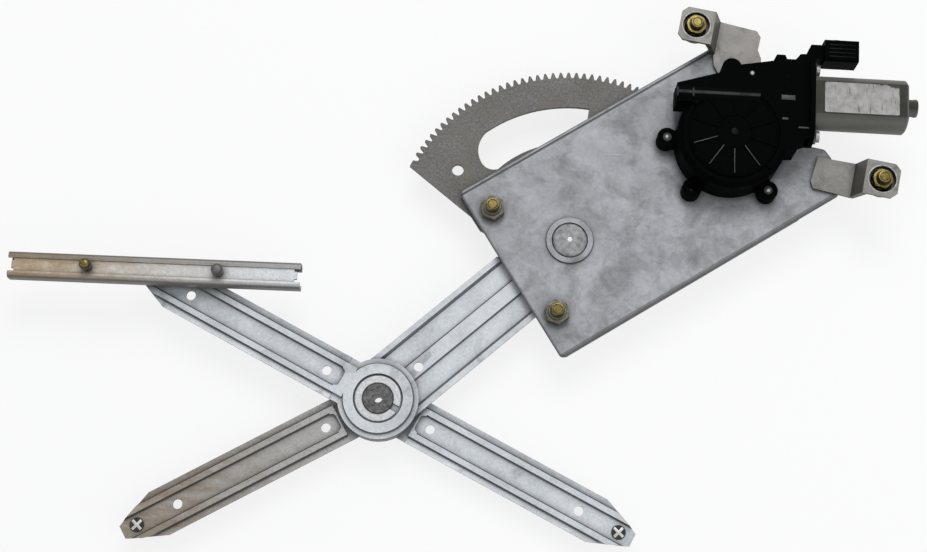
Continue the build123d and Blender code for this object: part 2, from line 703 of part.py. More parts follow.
# Narrow arms: the glass-side half of the main arm and the two halves of the cross arm
arm_list = [
    ("main_arm_lower", GLASS_ARM_FLOOR, GLASS_ARM_ANGLE, GLASS_ARM_LENGTH, CENTRE_RADIUS + RUNNING),
    ("cross_arm_upper", UPPER_ARM_FLOOR, RAIL_ARM_ANGLE, RAIL_ARM_LENGTH, CENTRE_RADIUS),
    ("cross_arm_lower", CROSS_ARM_FLOOR, CROSS_ARM_ANGLE, CROSS_ARM_LENGTH, CENTRE_RADIUS),
]
form_start = BOSS_RIM_RADIUS + 1.5
for name, floor, turn, length, bore in arm_list:
    has_boss = name == "cross_arm_upper"
    land_start = BOSS_RADIUS - ARM_SHEET if has_boss else form_start
    pocket_start = RAIL_ARM_POCKET_START if has_boss else POCKET_START
    with BuildPart() as arm:
        with BuildSketch(section_plane(centre, floor + ARM_SHEET, turn, form_start)):
            with BuildLine():
                Polyline(narrow_section, close=True)
            make_face()
        extrude(amount=length + ARM_TIP - form_start)
        with BuildSketch(level_at(centre, floor - ARM_SHEET, turn)):
            with BuildLine():
                Polyline(arm_plan(0, length), close=True)
            make_face()
        extrude(amount=3 * ARM_SHEET + ARM_RIB_RISE, mode=Mode.INTERSECT)
        with BuildSketch(level_at(centre, floor, turn)) as eye:
            Circle(BOSS_RIM_RADIUS)
            Rectangle(form_start + 1.0, ARM_WIDTH, align=(Align.MIN, Align.CENTER))
            if has_boss:
                fillet(eye.vertices().filter_by_position(Axis((0, 0, 0), turned(turn)), 0, form_start), BOSS_FLARE)
        extrude(amount=ARM_SHEET)
        with BuildSketch(level_at(centre, floor + ARM_SHEET, turn)):
            with Locations((land_start, 0)):
                Rectangle(
                    pocket_start + POCKET_CORNER - land_start,
                    2 * (rib_out - ARM_WALL_RUN),
                    align=(Align.MIN, Align.CENTER),
                )
            with Locations((pocket_start, 0)):
                RectangleRounded(
                    4 * POCKET_CORNER,
                    2 * rib_in,
                    POCKET_CORNER,
                    align=(Align.MIN, Align.CENTER),
                    mode=Mode.SUBTRACT,
                )
        extrude(amount=ARM_RIB_RISE)
        if has_boss:
            with BuildSketch(level_at(centre, upper_arm_top)):
                Circle(BOSS_RADIUS)
                Circle(BOSS_RECESS_RADIUS, mode=Mode.SUBTRACT)
            extrude(amount=BOSS_RISE, taper=20)
            with BuildSketch(level_at(centre, UPPER_ARM_FLOOR)):
                Circle(BOSS_RADIUS - ARM_SHEET)
                Circle(BOSS_RECESS_RADIUS + ARM_SHEET, mode=Mode.SUBTRACT)
            extrude(amount=BOSS_RISE, mode=Mode.SUBTRACT)
        with BuildSketch(level_at(centre, floor, turn)):
            Circle(bore)
            with Locations((ARM_HOLE_NEAR, 0), (length - ARM_HOLE_FROM_END, 0)):
                Circle(ARM_HOLE_RADIUS)
            with Locations((length, 0)):
                Circle(SLIDE_SHANK_RADIUS)
        extrude(amount=ARM_SHEET, mode=Mode.SUBTRACT)
        if name == "main_arm_lower":
            with BuildSketch(level_at(centre, floor, MAIN_ANGLE)):
                with Locations(*main_rivets):
                    Circle(HUB_RIVET_RADIUS)
            extrude(amount=ARM_SHEET, mode=Mode.SUBTRACT)
    arm.part.label = name
    export_step(arm.part, f"parts/{name}.step")

# Rivets: three through the sector gear, three through the two halves of the main arm
with BuildPart() as sector_rivets:
    with BuildSketch(level_at(pivot, MAIN_ARM_FLOOR)):
        with Locations(*rivet_points):
            Circle(RIVET_RADIUS)
    extrude(amount=GEAR_TOP - MAIN_ARM_FLOOR)
sector_rivets.part.label = "sector_rivets"
export_step(sector_rivets.part, "parts/sector_rivets.step")

with BuildPart() as hub_rivets:
    with BuildSketch(level_at(centre, GLASS_ARM_FLOOR, MAIN_ANGLE)):
        with Locations(*main_rivets):
            Circle(HUB_RIVET_RADIUS)
    extrude(amount=2 * ARM_SHEET)
hub_rivets.part.label = "hub_rivets"
export_step(hub_rivets.part, "parts/hub_rivets.step")

# Centre pivot: rear flange, plain journal, and a groove for the retaining ring
groove_radius = CENTRE_RADIUS - CENTRE_GROOVE
pivot_tip = upper_arm_top + RING_SHEET + 0.2
with BuildPart() as centre_pivot:
    with BuildSketch(level_at(centre, CROSS_ARM_FLOOR - CENTRE_FLANGE)):
        Circle(CENTRE_FLANGE_RADIUS)
    extrude(amount=CENTRE_FLANGE)
    with BuildSketch(level_at(centre, CROSS_ARM_FLOOR)):
        Circle(CENTRE_RADIUS)
    extrude(amount=pivot_tip - CROSS_ARM_FLOOR)
    with BuildSketch(level_at(centre, upper_arm_top)):
        Circle(CENTRE_RADIUS)
        Circle(groove_radius, mode=Mode.SUBTRACT)
    extrude(amount=RING_SHEET, mode=Mode.SUBTRACT)
    with BuildSketch(level_at(centre, CROSS_ARM_FLOOR - CENTRE_FLANGE)):
        Circle(CENTRE_HOLE_RADIUS)
    extrude(amount=pivot_tip - CROSS_ARM_FLOOR + CENTRE_FLANGE, mode=Mode.SUBTRACT)
centre_pivot.part.label = "centre_pivot"
export_step(centre_pivot.part, "parts/centre_pivot.step")

with BuildPart() as retaining_ring:
    with BuildSketch(level_at(centre, upper_arm_top, RING_GAP_ANGLE)):
        Circle(RING_RADIUS)
        Circle(groove_radius, mode=Mode.SUBTRACT)
        Rectangle(RING_RADIUS, RING_GAP, align=(Align.MIN, Align.CENTER), mode=Mode.SUBTRACT)
    extrude(amount=RING_SHEET)
retaining_ring.part.label = "retaining_ring"
export_step(retaining_ring.part, "parts/retaining_ring.step")

cross_arm_top = CROSS_ARM_FLOOR + ARM_SHEET
with BuildPart() as pivot_washers:
    for low, high in ((washer_bottom, UPPER_ARM_FLOOR), (cross_arm_top, GLASS_ARM_FLOOR - END_PLAY)):
        with BuildSketch(level_at(centre, low)):
            Circle(WASHER_RADIUS)
            Circle(CENTRE_RADIUS, mode=Mode.SUBTRACT)
        extrude(amount=high - low)
pivot_washers.part.label = "pivot_washers"
export_step(pivot_washers.part, "parts/pivot_washers.step")

# Slide studs of the glass channel: staked shank, collar, neck and rounded head
neck_end = SLIDE_END + SLIDE_HEAD
for name, point, floor in (("main_slide_stud", glass_stud, GLASS_ARM_FLOOR), ("cross_slide_stud", cross_stud, CROSS_ARM_FLOOR)):
    stake_top = floor + ARM_SHEET + STAKE_PROUD
    with BuildPart() as slide_stud:
        with BuildSketch(level_at(point, neck_end)):
            Circle(SLIDE_SHANK_RADIUS)
        extrude(amount=stake_top - neck_end)
        with BuildSketch(level_at(point, floor - SLIDE_COLLAR)):
            Circle(SLIDE_COLLAR_RADIUS)
        extrude(amount=SLIDE_COLLAR)
        with BuildSketch(level_at(point, SLIDE_END)):
            Circle(SLIDE_HEAD_RADIUS)
        extrude(amount=SLIDE_HEAD)
        head_edges = slide_stud.edges().filter_by(GeomType.CIRCLE)
        chamfer(head_edges.filter_by(lambda e: abs(e.radius - SLIDE_HEAD_RADIUS) < 0.1), SLIDE_HEAD_EDGE)
        with BuildSketch(level_at(point, stake_top)):
            with PolarLocations(SLIDE_SHANK_RADIUS * 0.62, 4, start_angle=45):
                Rectangle(STAKE_SLOT[1], STAKE_SLOT[0])
        extrude(amount=-STAKE_SLOT[2], mode=Mode.SUBTRACT)
    slide_stud.part.label = name
    export_step(slide_stud.part, f"parts/{name}.step")

# Guide rail: closed web towards the cabin, rolled sides, and two lips round the slot
rail_depth = RAIL_FRONT - RAIL_BACK
rail_height = (RAIL_FRONT + RAIL_BACK) / 2
shoe_high = RAIL_FRONT - RAIL_BEAD - RAIL_SHEET - SLIDING
shoe_low = RAIL_BACK + RAIL_SHEET + SLIDING
with BuildPart() as guide_rail:
    with BuildSketch(section_plane(rail_middle, rail_height, RAIL_TURN, -RAIL_LENGTH / 2)):
        RectangleRounded(RAIL_WIDTH, rail_depth, RAIL_CORNER)
        RectangleRounded(
            RAIL_WIDTH - 2 * RAIL_SHEET, rail_depth - 2 * RAIL_SHEET, RAIL_CORNER - RAIL_SHEET, mode=Mode.SUBTRACT
        )
        with Locations((0, -rail_depth / 2)):
            Rectangle(RAIL_WIDTH - 2 * RAIL_LIP, 2 * RAIL_SHEET, mode=Mode.SUBTRACT)
        with Locations((0, rail_depth / 2 - RAIL_BEAD)):
            Rectangle(RAIL_WEB + 2 * RAIL_SHEET, RAIL_SHEET, align=(Align.CENTER, Align.MAX))
        with Locations((0, rail_depth / 2)):
            Rectangle(RAIL_WEB, RAIL_BEAD, align=(Align.CENTER, Align.MAX), mode=Mode.SUBTRACT)
    extrude(amount=RAIL_LENGTH)
    for end in (-1, 1):
        with BuildSketch(level_at(rail_middle, RAIL_FRONT, RAIL_TURN)):
            with Locations((end * RAIL_LENGTH / 2, 0)):
                Rectangle(2 * RAIL_NOTCH, RAIL_WEB)
        extrude(amount=-2 * RAIL_SHEET - RAIL_BEAD, mode=Mode.SUBTRACT)
        with BuildSketch(level_at(rail_middle, RAIL_FRONT - RAIL_BEAD, RAIL_TURN)):
            with Locations((end * (RAIL_LENGTH / 2 - RAIL_NOTCH + RAIL_SHEET / 2), 0)):
                Rectangle(RAIL_SHEET, RAIL_WEB * 0.55)
        extrude(amount=-RAIL_TAB)
guide_rail.part.label = "guide_rail"
export_step(guide_rail.part, "parts/guide_rail.step")

for name, along in (("rail_stud_left", RAIL_STUD_LEFT), ("rail_stud_right", RAIL_STUD_RIGHT)):
    with BuildPart() as rail_bolt:
        with BuildSketch(level_at(rail_middle + turned(RAIL_TURN, along), RAIL_FRONT - RAIL_BEAD)):
            Circle(RAIL_STUD_RADIUS)
        extrude(amount=RAIL_BEAD + RAIL_STUD_LENGTH)
        chamfer(rail_bolt.edges().group_by(Axis.Z)[-1], STUD_TIP)
    rail_bolt.part.label = name
    export_step(rail_bolt.part, f"parts/{name}.step")

# Stud on the upper end of the cross arm, and the nylon shoe that it carries in the rail
with BuildPart() as cross_rail_stud:
    with BuildSketch(level_at(rail_stud, UPPER_ARM_FLOOR - STAKE_PROUD)):
        Circle(SLIDE_SHANK_RADIUS)
    extrude(amount=shoe_high - UPPER_ARM_FLOOR + STAKE_PROUD)
    with BuildSketch(level_at(rail_stud, upper_arm_top)):
        Circle(SLIDE_COLLAR_RADIUS)
    extrude(amount=SLIDE_COLLAR)
cross_rail_stud.part.label = "cross_rail_stud"
export_step(cross_rail_stud.part, "parts/cross_rail_stud.step")

shoe_width = RAIL_WIDTH - 2 * RAIL_SHEET - 2 * SLIDING
with BuildPart() as rail_shoe:
    with BuildSketch(section_plane(rail_stud, (shoe_low + shoe_high) / 2, RAIL_TURN, -SHOE_LENGTH / 2)):
        RectangleRounded(shoe_width, shoe_high - shoe_low, RAIL_CORNER - RAIL_SHEET)
    extrude(amount=SHOE_LENGTH)
    with BuildSketch(level_at(rail_stud, shoe_low, RAIL_TURN)):
        Circle(SLIDE_SHANK_RADIUS + RUNNING)
        with Locations((-SHOE_LENGTH / 3, 0), (SHOE_LENGTH / 3, 0)):
            Rectangle(1.2, shoe_width * 0.6)
    extrude(amount=shoe_high - shoe_low, mode=Mode.SUBTRACT)
rail_shoe.part.label = "rail_shoe"
export_step(rail_shoe.part, "parts/rail_shoe.step")

# Gearbox housing: round wheel chamber, worm tunnel and three lugs
lug_points = [turned(angle, LUG_CIRCLE) for angle in LUG_ANGLES]
flange_lugs = [(FLANGE_LUG_OFFSET, 0), (-FLANGE_LUG_OFFSET, 0)]
with BuildPart() as gearbox_housing:
    with BuildSketch(housing_level(0)):
        Circle(HOUSING_RADIUS)
    extrude(amount=HOUSING_HEIGHT)
    chamfer(gearbox_housing.edges().group_by(Axis.Z)[-1], HOUSING_SHOULDER)
    with BuildSketch(housing_level(WORM_BODY_LOW)):
        with BuildLine():
            Polyline(WORM_BODY, close=True)
        make_face()
        with Locations(TOP_LUG):
            Circle(LUG_RADIUS)
    extrude(amount=WORM_BODY_HIGH - WORM_BODY_LOW)
    with BuildSketch(housing_level(HOUSING_HEIGHT)):
        Circle(COVER_RADIUS)
    extrude(amount=WORM_BODY_HIGH - HOUSING_HEIGHT, mode=Mode.SUBTRACT)
    with BuildSketch(housing_level(0)):
        with Locations(*lug_points):
            Circle(LUG_RADIUS)
        for angle in LUG_ANGLES:
            with Locations(Location(turned(angle, LUG_CIRCLE - LUG_RADIUS / 2), (0, 0, angle))):
                Rectangle(LUG_RADIUS, LUG_NECK)
    extrude(amount=LUG_HEIGHT)
    with BuildSketch(motor_plane(WORM_TUBE_END)):
        Circle(WORM_TUBE_RADIUS)
    extrude(amount=-WORM_TUBE_END)
    with BuildSketch(motor_plane(MOTOR_FACE)):
        SlotOverall(2 * (FLANGE_LUG_OFFSET + FLANGE_LUG_RADIUS + MOTOR_SEAT_EDGE), CAN_THICKNESS)
    extrude(amount=-MOTOR_SEAT)
    with BuildSketch(housing_level(-PLATE_SHEET)):
        Circle(SPIGOT_RADIUS)
    extrude(amount=PLATE_SHEET)
    with BuildSketch(housing_level(HOUSING_FLOOR)):
        Circle(WHEEL_CAVITY)
    extrude(amount=HOUSING_HEIGHT - HOUSING_FLOOR, mode=Mode.SUBTRACT)
    with BuildSketch(motor_plane(TUNNEL_END)):
        Circle(TUNNEL_RADIUS)
    extrude(amount=MOTOR_FACE - TUNNEL_END, mode=Mode.SUBTRACT)
    with BuildSketch(motor_plane(SHAFT_START - END_PLAY)):
        Circle(SHAFT_RADIUS + RUNNING)
    extrude(amount=TUNNEL_END - SHAFT_START + END_PLAY, mode=Mode.SUBTRACT)
    with BuildSketch(housing_level(-PLATE_SHEET)):
        Circle(OUTPUT_RADIUS + RUNNING)
    extrude(amount=PLATE_SHEET + HOUSING_FLOOR, mode=Mode.SUBTRACT)
    with BuildSketch(housing_level(0)):
        with Locations(*lug_points):
            Circle(SCREW_RADIUS)
    extrude(amount=LUG_HEIGHT, mode=Mode.SUBTRACT)
    with BuildSketch(motor_plane(MOTOR_FACE)):
        with Locations(*flange_lugs):
            Circle(MOTOR_SCREW_RADIUS)
    extrude(amount=-MOTOR_SCREW_LENGTH, mode=Mode.SUBTRACT)
gearbox_housing.part.label = "gearbox_housing"
export_step(gearbox_housing.part, "parts/gearbox_housing.step")

with BuildPart() as gearbox_cover:
    with BuildSketch(housing_level(HOUSING_HEIGHT)):
        Circle(COVER_RADIUS)
    extrude(amount=COVER_SHEET)
    chamfer(gearbox_cover.edges().group_by(Axis.Z)[-1], COVER_EDGE)
    with BuildSketch(housing_level(HOUSING_HEIGHT + COVER_SHEET)):
        with PolarLocations(COVER_RIB_CIRCLE, COVER_RIBS, start_angle=COVER_RIB_AT):
            Rectangle(COVER_RIB[0], COVER_RIB[1])
        Circle(COVER_HUB_RADIUS)
    extrude(amount=COVER_RIB[2])
gearbox_cover.part.label = "gearbox_cover"
export_step(gearbox_cover.part, "parts/gearbox_cover.step")

# Screws: two through the plate into the housing's lugs, two through the motor's flange
with BuildPart() as mounting_screws:
    with BuildSketch(housing_level(-PLATE_SHEET)):
        with Locations(lug_points[0], lug_points[2]):
            Circle(SCREW_RADIUS)
    extrude(amount=PLATE_SHEET + LUG_HEIGHT + SCREW_PROUD)
    with BuildSketch(housing_level(-PLATE_SHEET)):
        with Locations(lug_points[0], lug_points[2]):
            Circle(SCREW_HEAD_RADIUS)
    extrude(amount=-SCREW_HEAD)
    with BuildSketch(housing_level(-PLATE_SHEET - SCREW_HEAD)):
        with Locations(lug_points[0], lug_points[2]):
            RegularPolygon(SCREW_RADIUS * 0.9, 6)
    extrude(amount=SCREW_HEAD * 0.6, mode=Mode.SUBTRACT)
mounting_screws.part.label = "mounting_screws"
export_step(mounting_screws.part, "parts/mounting_screws.step")

can_face = MOTOR_FACE + MOTOR_FLANGE
with BuildPart() as motor_screws:
    with BuildSketch(motor_plane(can_face)):
        with Locations(*flange_lugs):
            Circle(MOTOR_SCREW_RADIUS)
    extrude(amount=-MOTOR_FLANGE - MOTOR_SCREW_LENGTH)
    with BuildSketch(motor_plane(can_face)):
        with Locations(*flange_lugs):
            Circle(MOTOR_SCREW_HEAD_RADIUS)
    extrude(amount=SCREW_HEAD)
    with BuildSketch(motor_plane(can_face + SCREW_HEAD)):
        with Locations(*flange_lugs):
            RegularPolygon(MOTOR_SCREW_RADIUS * 0.9, 6)
    extrude(amount=-SCREW_HEAD * 0.6, mode=Mode.SUBTRACT)
motor_screws.part.label = "motor_screws"
export_step(motor_screws.part, "parts/motor_screws.step")

# Motor can: a drawn cup with two flats, its flange plate and the rear bearing boss
can_bore = CAN_RADIUS - CAN_WALL
can_inside = CAN_THICKNESS - 2 * CAN_WALL
with BuildPart() as motor_can:
    with BuildSketch(motor_plane(MOTOR_FACE)):
        Circle(CAN_RADIUS)
        Rectangle(2 * CAN_RADIUS, CAN_THICKNESS, mode=Mode.INTERSECT)
    extrude(amount=CAN_END - MOTOR_FACE)
    chamfer(motor_can.faces().sort_by(Axis((0, 0, 0), turned(MOTOR_TURN)))[-1].edges(), CAN_EDGE)
    with BuildSketch(motor_plane(MOTOR_FACE)):
        SlotOverall(2 * (FLANGE_LUG_OFFSET + FLANGE_LUG_RADIUS), 2 * FLANGE_LUG_RADIUS)
        with Locations(*flange_lugs):
            Circle(MOTOR_SCREW_RADIUS, mode=Mode.SUBTRACT)
    extrude(amount=MOTOR_FLANGE)
    with BuildSketch(motor_plane(CAN_END)):
        Circle(BOSS_END_RADIUS)
    extrude(amount=BOSS_END - CAN_END)
    with BuildSketch(motor_plane(MOTOR_FACE)):
        Circle(can_bore)
        Rectangle(2 * can_bore, can_inside, mode=Mode.INTERSECT)
    extrude(amount=CAN_END - CAN_WALL - MOTOR_FACE, mode=Mode.SUBTRACT)
    with BuildSketch(motor_plane(CAN_END - CAN_WALL)):
        Circle(BEARING_OUTER)
    extrude(amount=BOSS_END - CAN_END + CAN_WALL - BOSS_END_WALL, mode=Mode.SUBTRACT)
motor_can.part.label = "motor_can"
export_step(motor_can.part, "parts/motor_can.step")

# Inside the can: magnets, armature, brushes and rear bearing
with BuildPart() as can_magnets:
    with BuildSketch(motor_plane(MAGNET_START)):
        Circle(can_bore)
        Circle(MAGNET_INNER, mode=Mode.SUBTRACT)
        Rectangle(2 * CAN_RADIUS, 2 * MAGNET_SPAN, mode=Mode.INTERSECT)
    extrude(amount=MAGNET_LENGTH)
can_magnets.part.label = "can_magnets"
export_step(can_magnets.part, "parts/can_magnets.step")

bearing_start = BOSS_END - BOSS_END_WALL - BEARING_LENGTH
with BuildPart() as rear_bearing:
    with BuildSketch(motor_plane(bearing_start)):
        Circle(BEARING_OUTER)
        Circle(SHAFT_RADIUS + RUNNING, mode=Mode.SUBTRACT)
    extrude(amount=BEARING_LENGTH)
rear_bearing.part.label = "rear_bearing"
export_step(rear_bearing.part, "parts/rear_bearing.step")

with BuildPart() as armature_shaft:
    with BuildSketch(motor_plane(SHAFT_START)):
        Circle(SHAFT_RADIUS)
    extrude(amount=BOSS_END - BOSS_END_WALL - END_PLAY - SHAFT_START)
    with BuildSketch(motor_plane(-WORM_LENGTH / 2)):
        Circle(WORM_RADIUS)
    extrude(amount=WORM_LENGTH)
armature_shaft.part.label = "armature_shaft"
export_step(armature_shaft.part, "parts/armature_shaft.step")

with BuildPart() as armature_core:
    with BuildSketch(motor_plane(CORE_START)):
        Circle(CORE_RADIUS)
        Circle(SHAFT_RADIUS, mode=Mode.SUBTRACT)
        with PolarLocations(CORE_RADIUS, CORE_SLOTS):
            Rectangle(2 * CORE_SLOT[1], CORE_SLOT[0], mode=Mode.SUBTRACT)
    extrude(amount=CORE_LENGTH)
armature_core.part.label = "armature_core"
export_step(armature_core.part, "parts/armature_core.step")

with BuildPart() as commutator:
    with BuildSketch(motor_plane(COMMUTATOR_START)):
        Circle(COMMUTATOR_RADIUS)
        Circle(SHAFT_RADIUS, mode=Mode.SUBTRACT)
    extrude(amount=COMMUTATOR_LENGTH)
commutator.part.label = "commutator"
export_step(commutator.part, "parts/commutator.step")

brush_start = can_face + HOLDER_SHEET
guide_start = COMMUTATOR_RADIUS + 2 * BRUSH_GAP + 0.4
guide_length = can_bore - 1.0 - guide_start
with BuildPart() as brush_holder:
    with BuildSketch(motor_plane(can_face)):
        Circle(can_bore)
        Rectangle(2 * can_bore, can_inside, mode=Mode.INTERSECT)
        Circle(SHAFT_RADIUS + 2.0, mode=Mode.SUBTRACT)
    extrude(amount=HOLDER_SHEET)
    with BuildSketch(motor_plane(brush_start)):
        with Locations((guide_start, 0), (-guide_start - guide_length, 0)):
            Rectangle(guide_length, BRUSH + 2 * GUIDE_WALL, align=(Align.MIN, Align.CENTER))
    extrude(amount=BRUSH + GUIDE_WALL)
    with BuildSketch(motor_plane(brush_start)):
        with Locations((guide_start, 0), (-guide_start - guide_length, 0)):
            Rectangle(guide_length, BRUSH, align=(Align.MIN, Align.CENTER))
    extrude(amount=BRUSH, mode=Mode.SUBTRACT)
brush_holder.part.label = "brush_holder"
export_step(brush_holder.part, "parts/brush_holder.step")

brush_from = COMMUTATOR_RADIUS + BRUSH_GAP
with BuildPart() as brushes:
    with BuildSketch(motor_plane(brush_start)):
        with Locations((brush_from, 0), (-brush_from - BRUSH_LENGTH, 0)):
            Rectangle(BRUSH_LENGTH, BRUSH, align=(Align.MIN, Align.CENTER))
    extrude(amount=BRUSH)
brushes.part.label = "brushes"
export_step(brushes.part, "parts/brushes.step")

# Output: worm wheel on a rubber damper, drive plate, and the pinion that turns the sector gear
contact = (FIRST_TOOTH_AT - PINION_DIRECTION) % tooth_pitch
pinion_start = PINION_DIRECTION + 180 - contact * SECTOR_TEETH / PINION_TEETH + 180 / PINION_TEETH
pinion_angles = [pinion_start + k * 360 / PINION_TEETH for k in range(PINION_TEETH)]
pocket_low = WHEEL_LOW + WHEEL_FLOOR
with BuildPart() as output_pinion:
    with BuildSketch(level_at(output, PINION_LOW)):
        with BuildLine():
            Polyline(gear_teeth(PINION_TEETH, MODULE, pinion_angles, BACKLASH, steps=4), close=True)
        make_face()
    extrude(amount=PINION_HIGH - PINION_LOW)
    with BuildSketch(level_at(output, PINION_HIGH)):
        Circle(OUTPUT_RADIUS)
    extrude(amount=pocket_low + DAMPER + DRIVE_PLATE - PINION_HIGH)
output_pinion.part.label = "output_pinion"
export_step(output_pinion.part, "parts/output_pinion.step")

wheel_angles = [k * 360 / WHEEL_TEETH for k in range(WHEEL_TEETH)]
with BuildPart() as worm_wheel:
    with BuildSketch(housing_level(WHEEL_LOW)):
        with BuildLine():
            Polyline(gear_teeth(WHEEL_TEETH, WHEEL_MODULE, wheel_angles, 0.1, steps=2), close=True)
        make_face()
    extrude(amount=WHEEL_FACE)
    with BuildSketch(housing_level(pocket_low)):
        Circle(DAMPER_RADIUS)
    extrude(amount=WHEEL_FACE, mode=Mode.SUBTRACT)
    with BuildSketch(housing_level(WHEEL_LOW)):
        Circle(OUTPUT_RADIUS)
    extrude(amount=WHEEL_FLOOR, mode=Mode.SUBTRACT)
worm_wheel.part.label = "worm_wheel"
export_step(worm_wheel.part, "parts/worm_wheel.step")

with BuildPart() as damper:
    with BuildSketch(housing_level(pocket_low)):
        Circle(DAMPER_RADIUS)
        Circle(OUTPUT_RADIUS, mode=Mode.SUBTRACT)
        with PolarLocations(DAMPER_RADIUS - DRIVE_DOG_INSET, DRIVE_DOGS):
            Rectangle(*DRIVE_DOG, mode=Mode.SUBTRACT)
    extrude(amount=DAMPER)
damper.part.label = "damper"
export_step(damper.part, "parts/damper.step")

with BuildPart() as drive_plate:
    with BuildSketch(housing_level(pocket_low + DAMPER)):
        Circle(DAMPER_RADIUS - 0.5)
        Circle(OUTPUT_RADIUS, mode=Mode.SUBTRACT)
    extrude(amount=DRIVE_PLATE)
    with BuildSketch(housing_level(pocket_low + DAMPER)):
        with PolarLocations(DAMPER_RADIUS - DRIVE_DOG_INSET, DRIVE_DOGS):
            Rectangle(*DRIVE_DOG)
    extrude(amount=-DAMPER + 0.5)
drive_plate.part.label = "drive_plate"
export_step(drive_plate.part, "parts/drive_plate.step")

# Connector: shell with its neck on the housing, latch nose and two blades
plug_middle = (PLUG_LOW + PLUG_HIGH) / 2 - WORM_OFFSET
plug_level = (PLUG_BOTTOM + PLUG_TOP) / 2 - WORM_LEVEL
with BuildPart() as connector:
    with BuildSketch(motor_plane(PLUG_START)):
        with Locations((plug_middle, plug_level)):
            RectangleRounded(PLUG_HIGH - PLUG_LOW, PLUG_TOP - PLUG_BOTTOM, PLUG_CORNER)
    extrude(amount=PLUG_END - PLUG_START)
    with BuildSketch(housing_level(PLUG_BOTTOM + 1.0)):
        with BuildLine():
            Polyline(PLUG_NECK, close=True)
        make_face()
    extrude(amount=PLUG_TOP - PLUG_BOTTOM - 4.0)
    with BuildSketch(motor_plane(PLUG_END)):
        with Locations((plug_middle, plug_level)):
            Rectangle(PLUG_HIGH - PLUG_LOW - 2 * PLUG_WALL, PLUG_TOP - PLUG_BOTTOM - 2 * PLUG_WALL)
    extrude(amount=-(PLUG_END - PLUG_START - PLUG_FLOOR), mode=Mode.SUBTRACT)
    with BuildSketch(motor_plane(LATCH_START)):
        with Locations((PLUG_HIGH - WORM_OFFSET, plug_level)):
            Rectangle(2 * LATCH[0], LATCH[1])
        with Locations((plug_middle, plug_level)):
            Rectangle(PLUG_HIGH - PLUG_LOW - PLUG_WALL, PLUG_TOP - PLUG_BOTTOM, mode=Mode.SUBTRACT)
    extrude(amount=LATCH[2])
connector.part.label = "connector"
export_step(connector.part, "parts/connector.step")

with BuildPart() as connector_terminals:
    with BuildSketch(motor_plane(PLUG_START + PLUG_FLOOR)):
        with Locations((plug_middle, plug_level - TERMINAL_PITCH / 2), (plug_middle, plug_level + TERMINAL_PITCH / 2)):
            Rectangle(TERMINAL[0], TERMINAL[1])
    extrude(amount=TERMINAL[2])
connector_terminals.part.label = "connector_terminals"
export_step(connector_terminals.part, "parts/connector_terminals.step")
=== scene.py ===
import json
import math

import bpy
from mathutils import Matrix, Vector


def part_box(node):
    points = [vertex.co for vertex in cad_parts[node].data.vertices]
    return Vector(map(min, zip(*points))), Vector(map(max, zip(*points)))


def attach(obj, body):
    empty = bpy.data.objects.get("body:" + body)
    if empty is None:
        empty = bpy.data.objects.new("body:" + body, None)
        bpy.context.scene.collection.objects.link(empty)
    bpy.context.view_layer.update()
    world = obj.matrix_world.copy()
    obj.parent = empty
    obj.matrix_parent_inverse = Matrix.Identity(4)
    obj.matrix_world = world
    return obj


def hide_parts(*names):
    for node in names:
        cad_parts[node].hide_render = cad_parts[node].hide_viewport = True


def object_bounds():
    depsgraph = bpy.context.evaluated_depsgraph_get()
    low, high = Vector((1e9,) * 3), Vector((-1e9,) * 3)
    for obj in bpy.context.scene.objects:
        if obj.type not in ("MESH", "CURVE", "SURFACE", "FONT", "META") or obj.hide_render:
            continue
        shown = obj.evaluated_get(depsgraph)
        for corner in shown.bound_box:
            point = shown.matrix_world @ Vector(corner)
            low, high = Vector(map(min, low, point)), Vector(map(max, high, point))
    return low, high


MM = 0.001

# Places on the regulator, in millimetres, and turns about Z, in degrees
PLATE_TURN = 30.7
ARM_TURN = -28.0
BRACKET_TURN = 10.0
RAIL_TURN = -2.4
MOTOR_TURN = -3.2
MAIN_PIVOT = (26.83, 12.79)
OUTPUT_AXIS = (122.011, 71.346)
PLATE_STUDS = ((18.635, -31.385), (-18.635, 31.385))
BRACKET_STUDS = ((209.6, 46.0), (103.4, 141.6))
RAIL_STUDS = ((-254.72, -5.36), (-178.29, -8.56))
CENTRE = (-85.339, -80.666)
MAIN_SLIDE = (-223.41, -152.847)
CROSS_SLIDE = (53.468, -156.975)

# Hexagon nuts: the size across flats and the turn of each kind
PLATE_NUT = (13.0, 8.0)
BRACKET_NUT = (11.0, 12.0)
CUTTER_DEPTH = 80.0

# Places along and across the worm's axis from the output shaft, heights and sizes, in
# millimetres, and turns in degrees
WORM_ACROSS = 22.8
WORM_LEVEL = 22.9
WORM_TOP = 26.4
COVER_TOP = 26.9
PAD_LEVEL = 27.1
PAD_EDGE = 0.3
RIDGE_EDGE = 0.5
RIB_EDGE = 0.15
SHEEN_RIB_SIZE = (14.6, 0.55, 0.4)
SHEEN_RIB_MIDDLE = (17.6, 0.0, 27.75)
SHEEN_RIB_TURNS = (-160.8, -124.8, -88.8, -52.8)
SCREW_GLINTS = (((-37.3, 0.0), 10.5), ((22.86, -29.47), 10.5), ((9.7, 36.6), 26.9))
CONNECTOR_ALONG = 62.2
CONNECTOR_RIBS = (49.2, 51.6, 54.0, 56.4)
CONNECTOR_RIB_SIZE = (15.5, 0.7, 0.7)
CONNECTOR_LEVEL = 28.05
LABEL_SIZE = (43.4, 18.4)
LABEL_PLACE = (73.5, 23.2, 30.5)
LABEL_THICKNESS = 0.12
LABEL_CORNER = 1.0
BOSS_PLACE = (105.8, 23.0, 18.0)

# Where the label starts to tear and is torn, along and across the worm's axis from the origin
TORN_ALONG = (177.0, 215.0)
TORN_ACROSS = (103.0, 112.0)

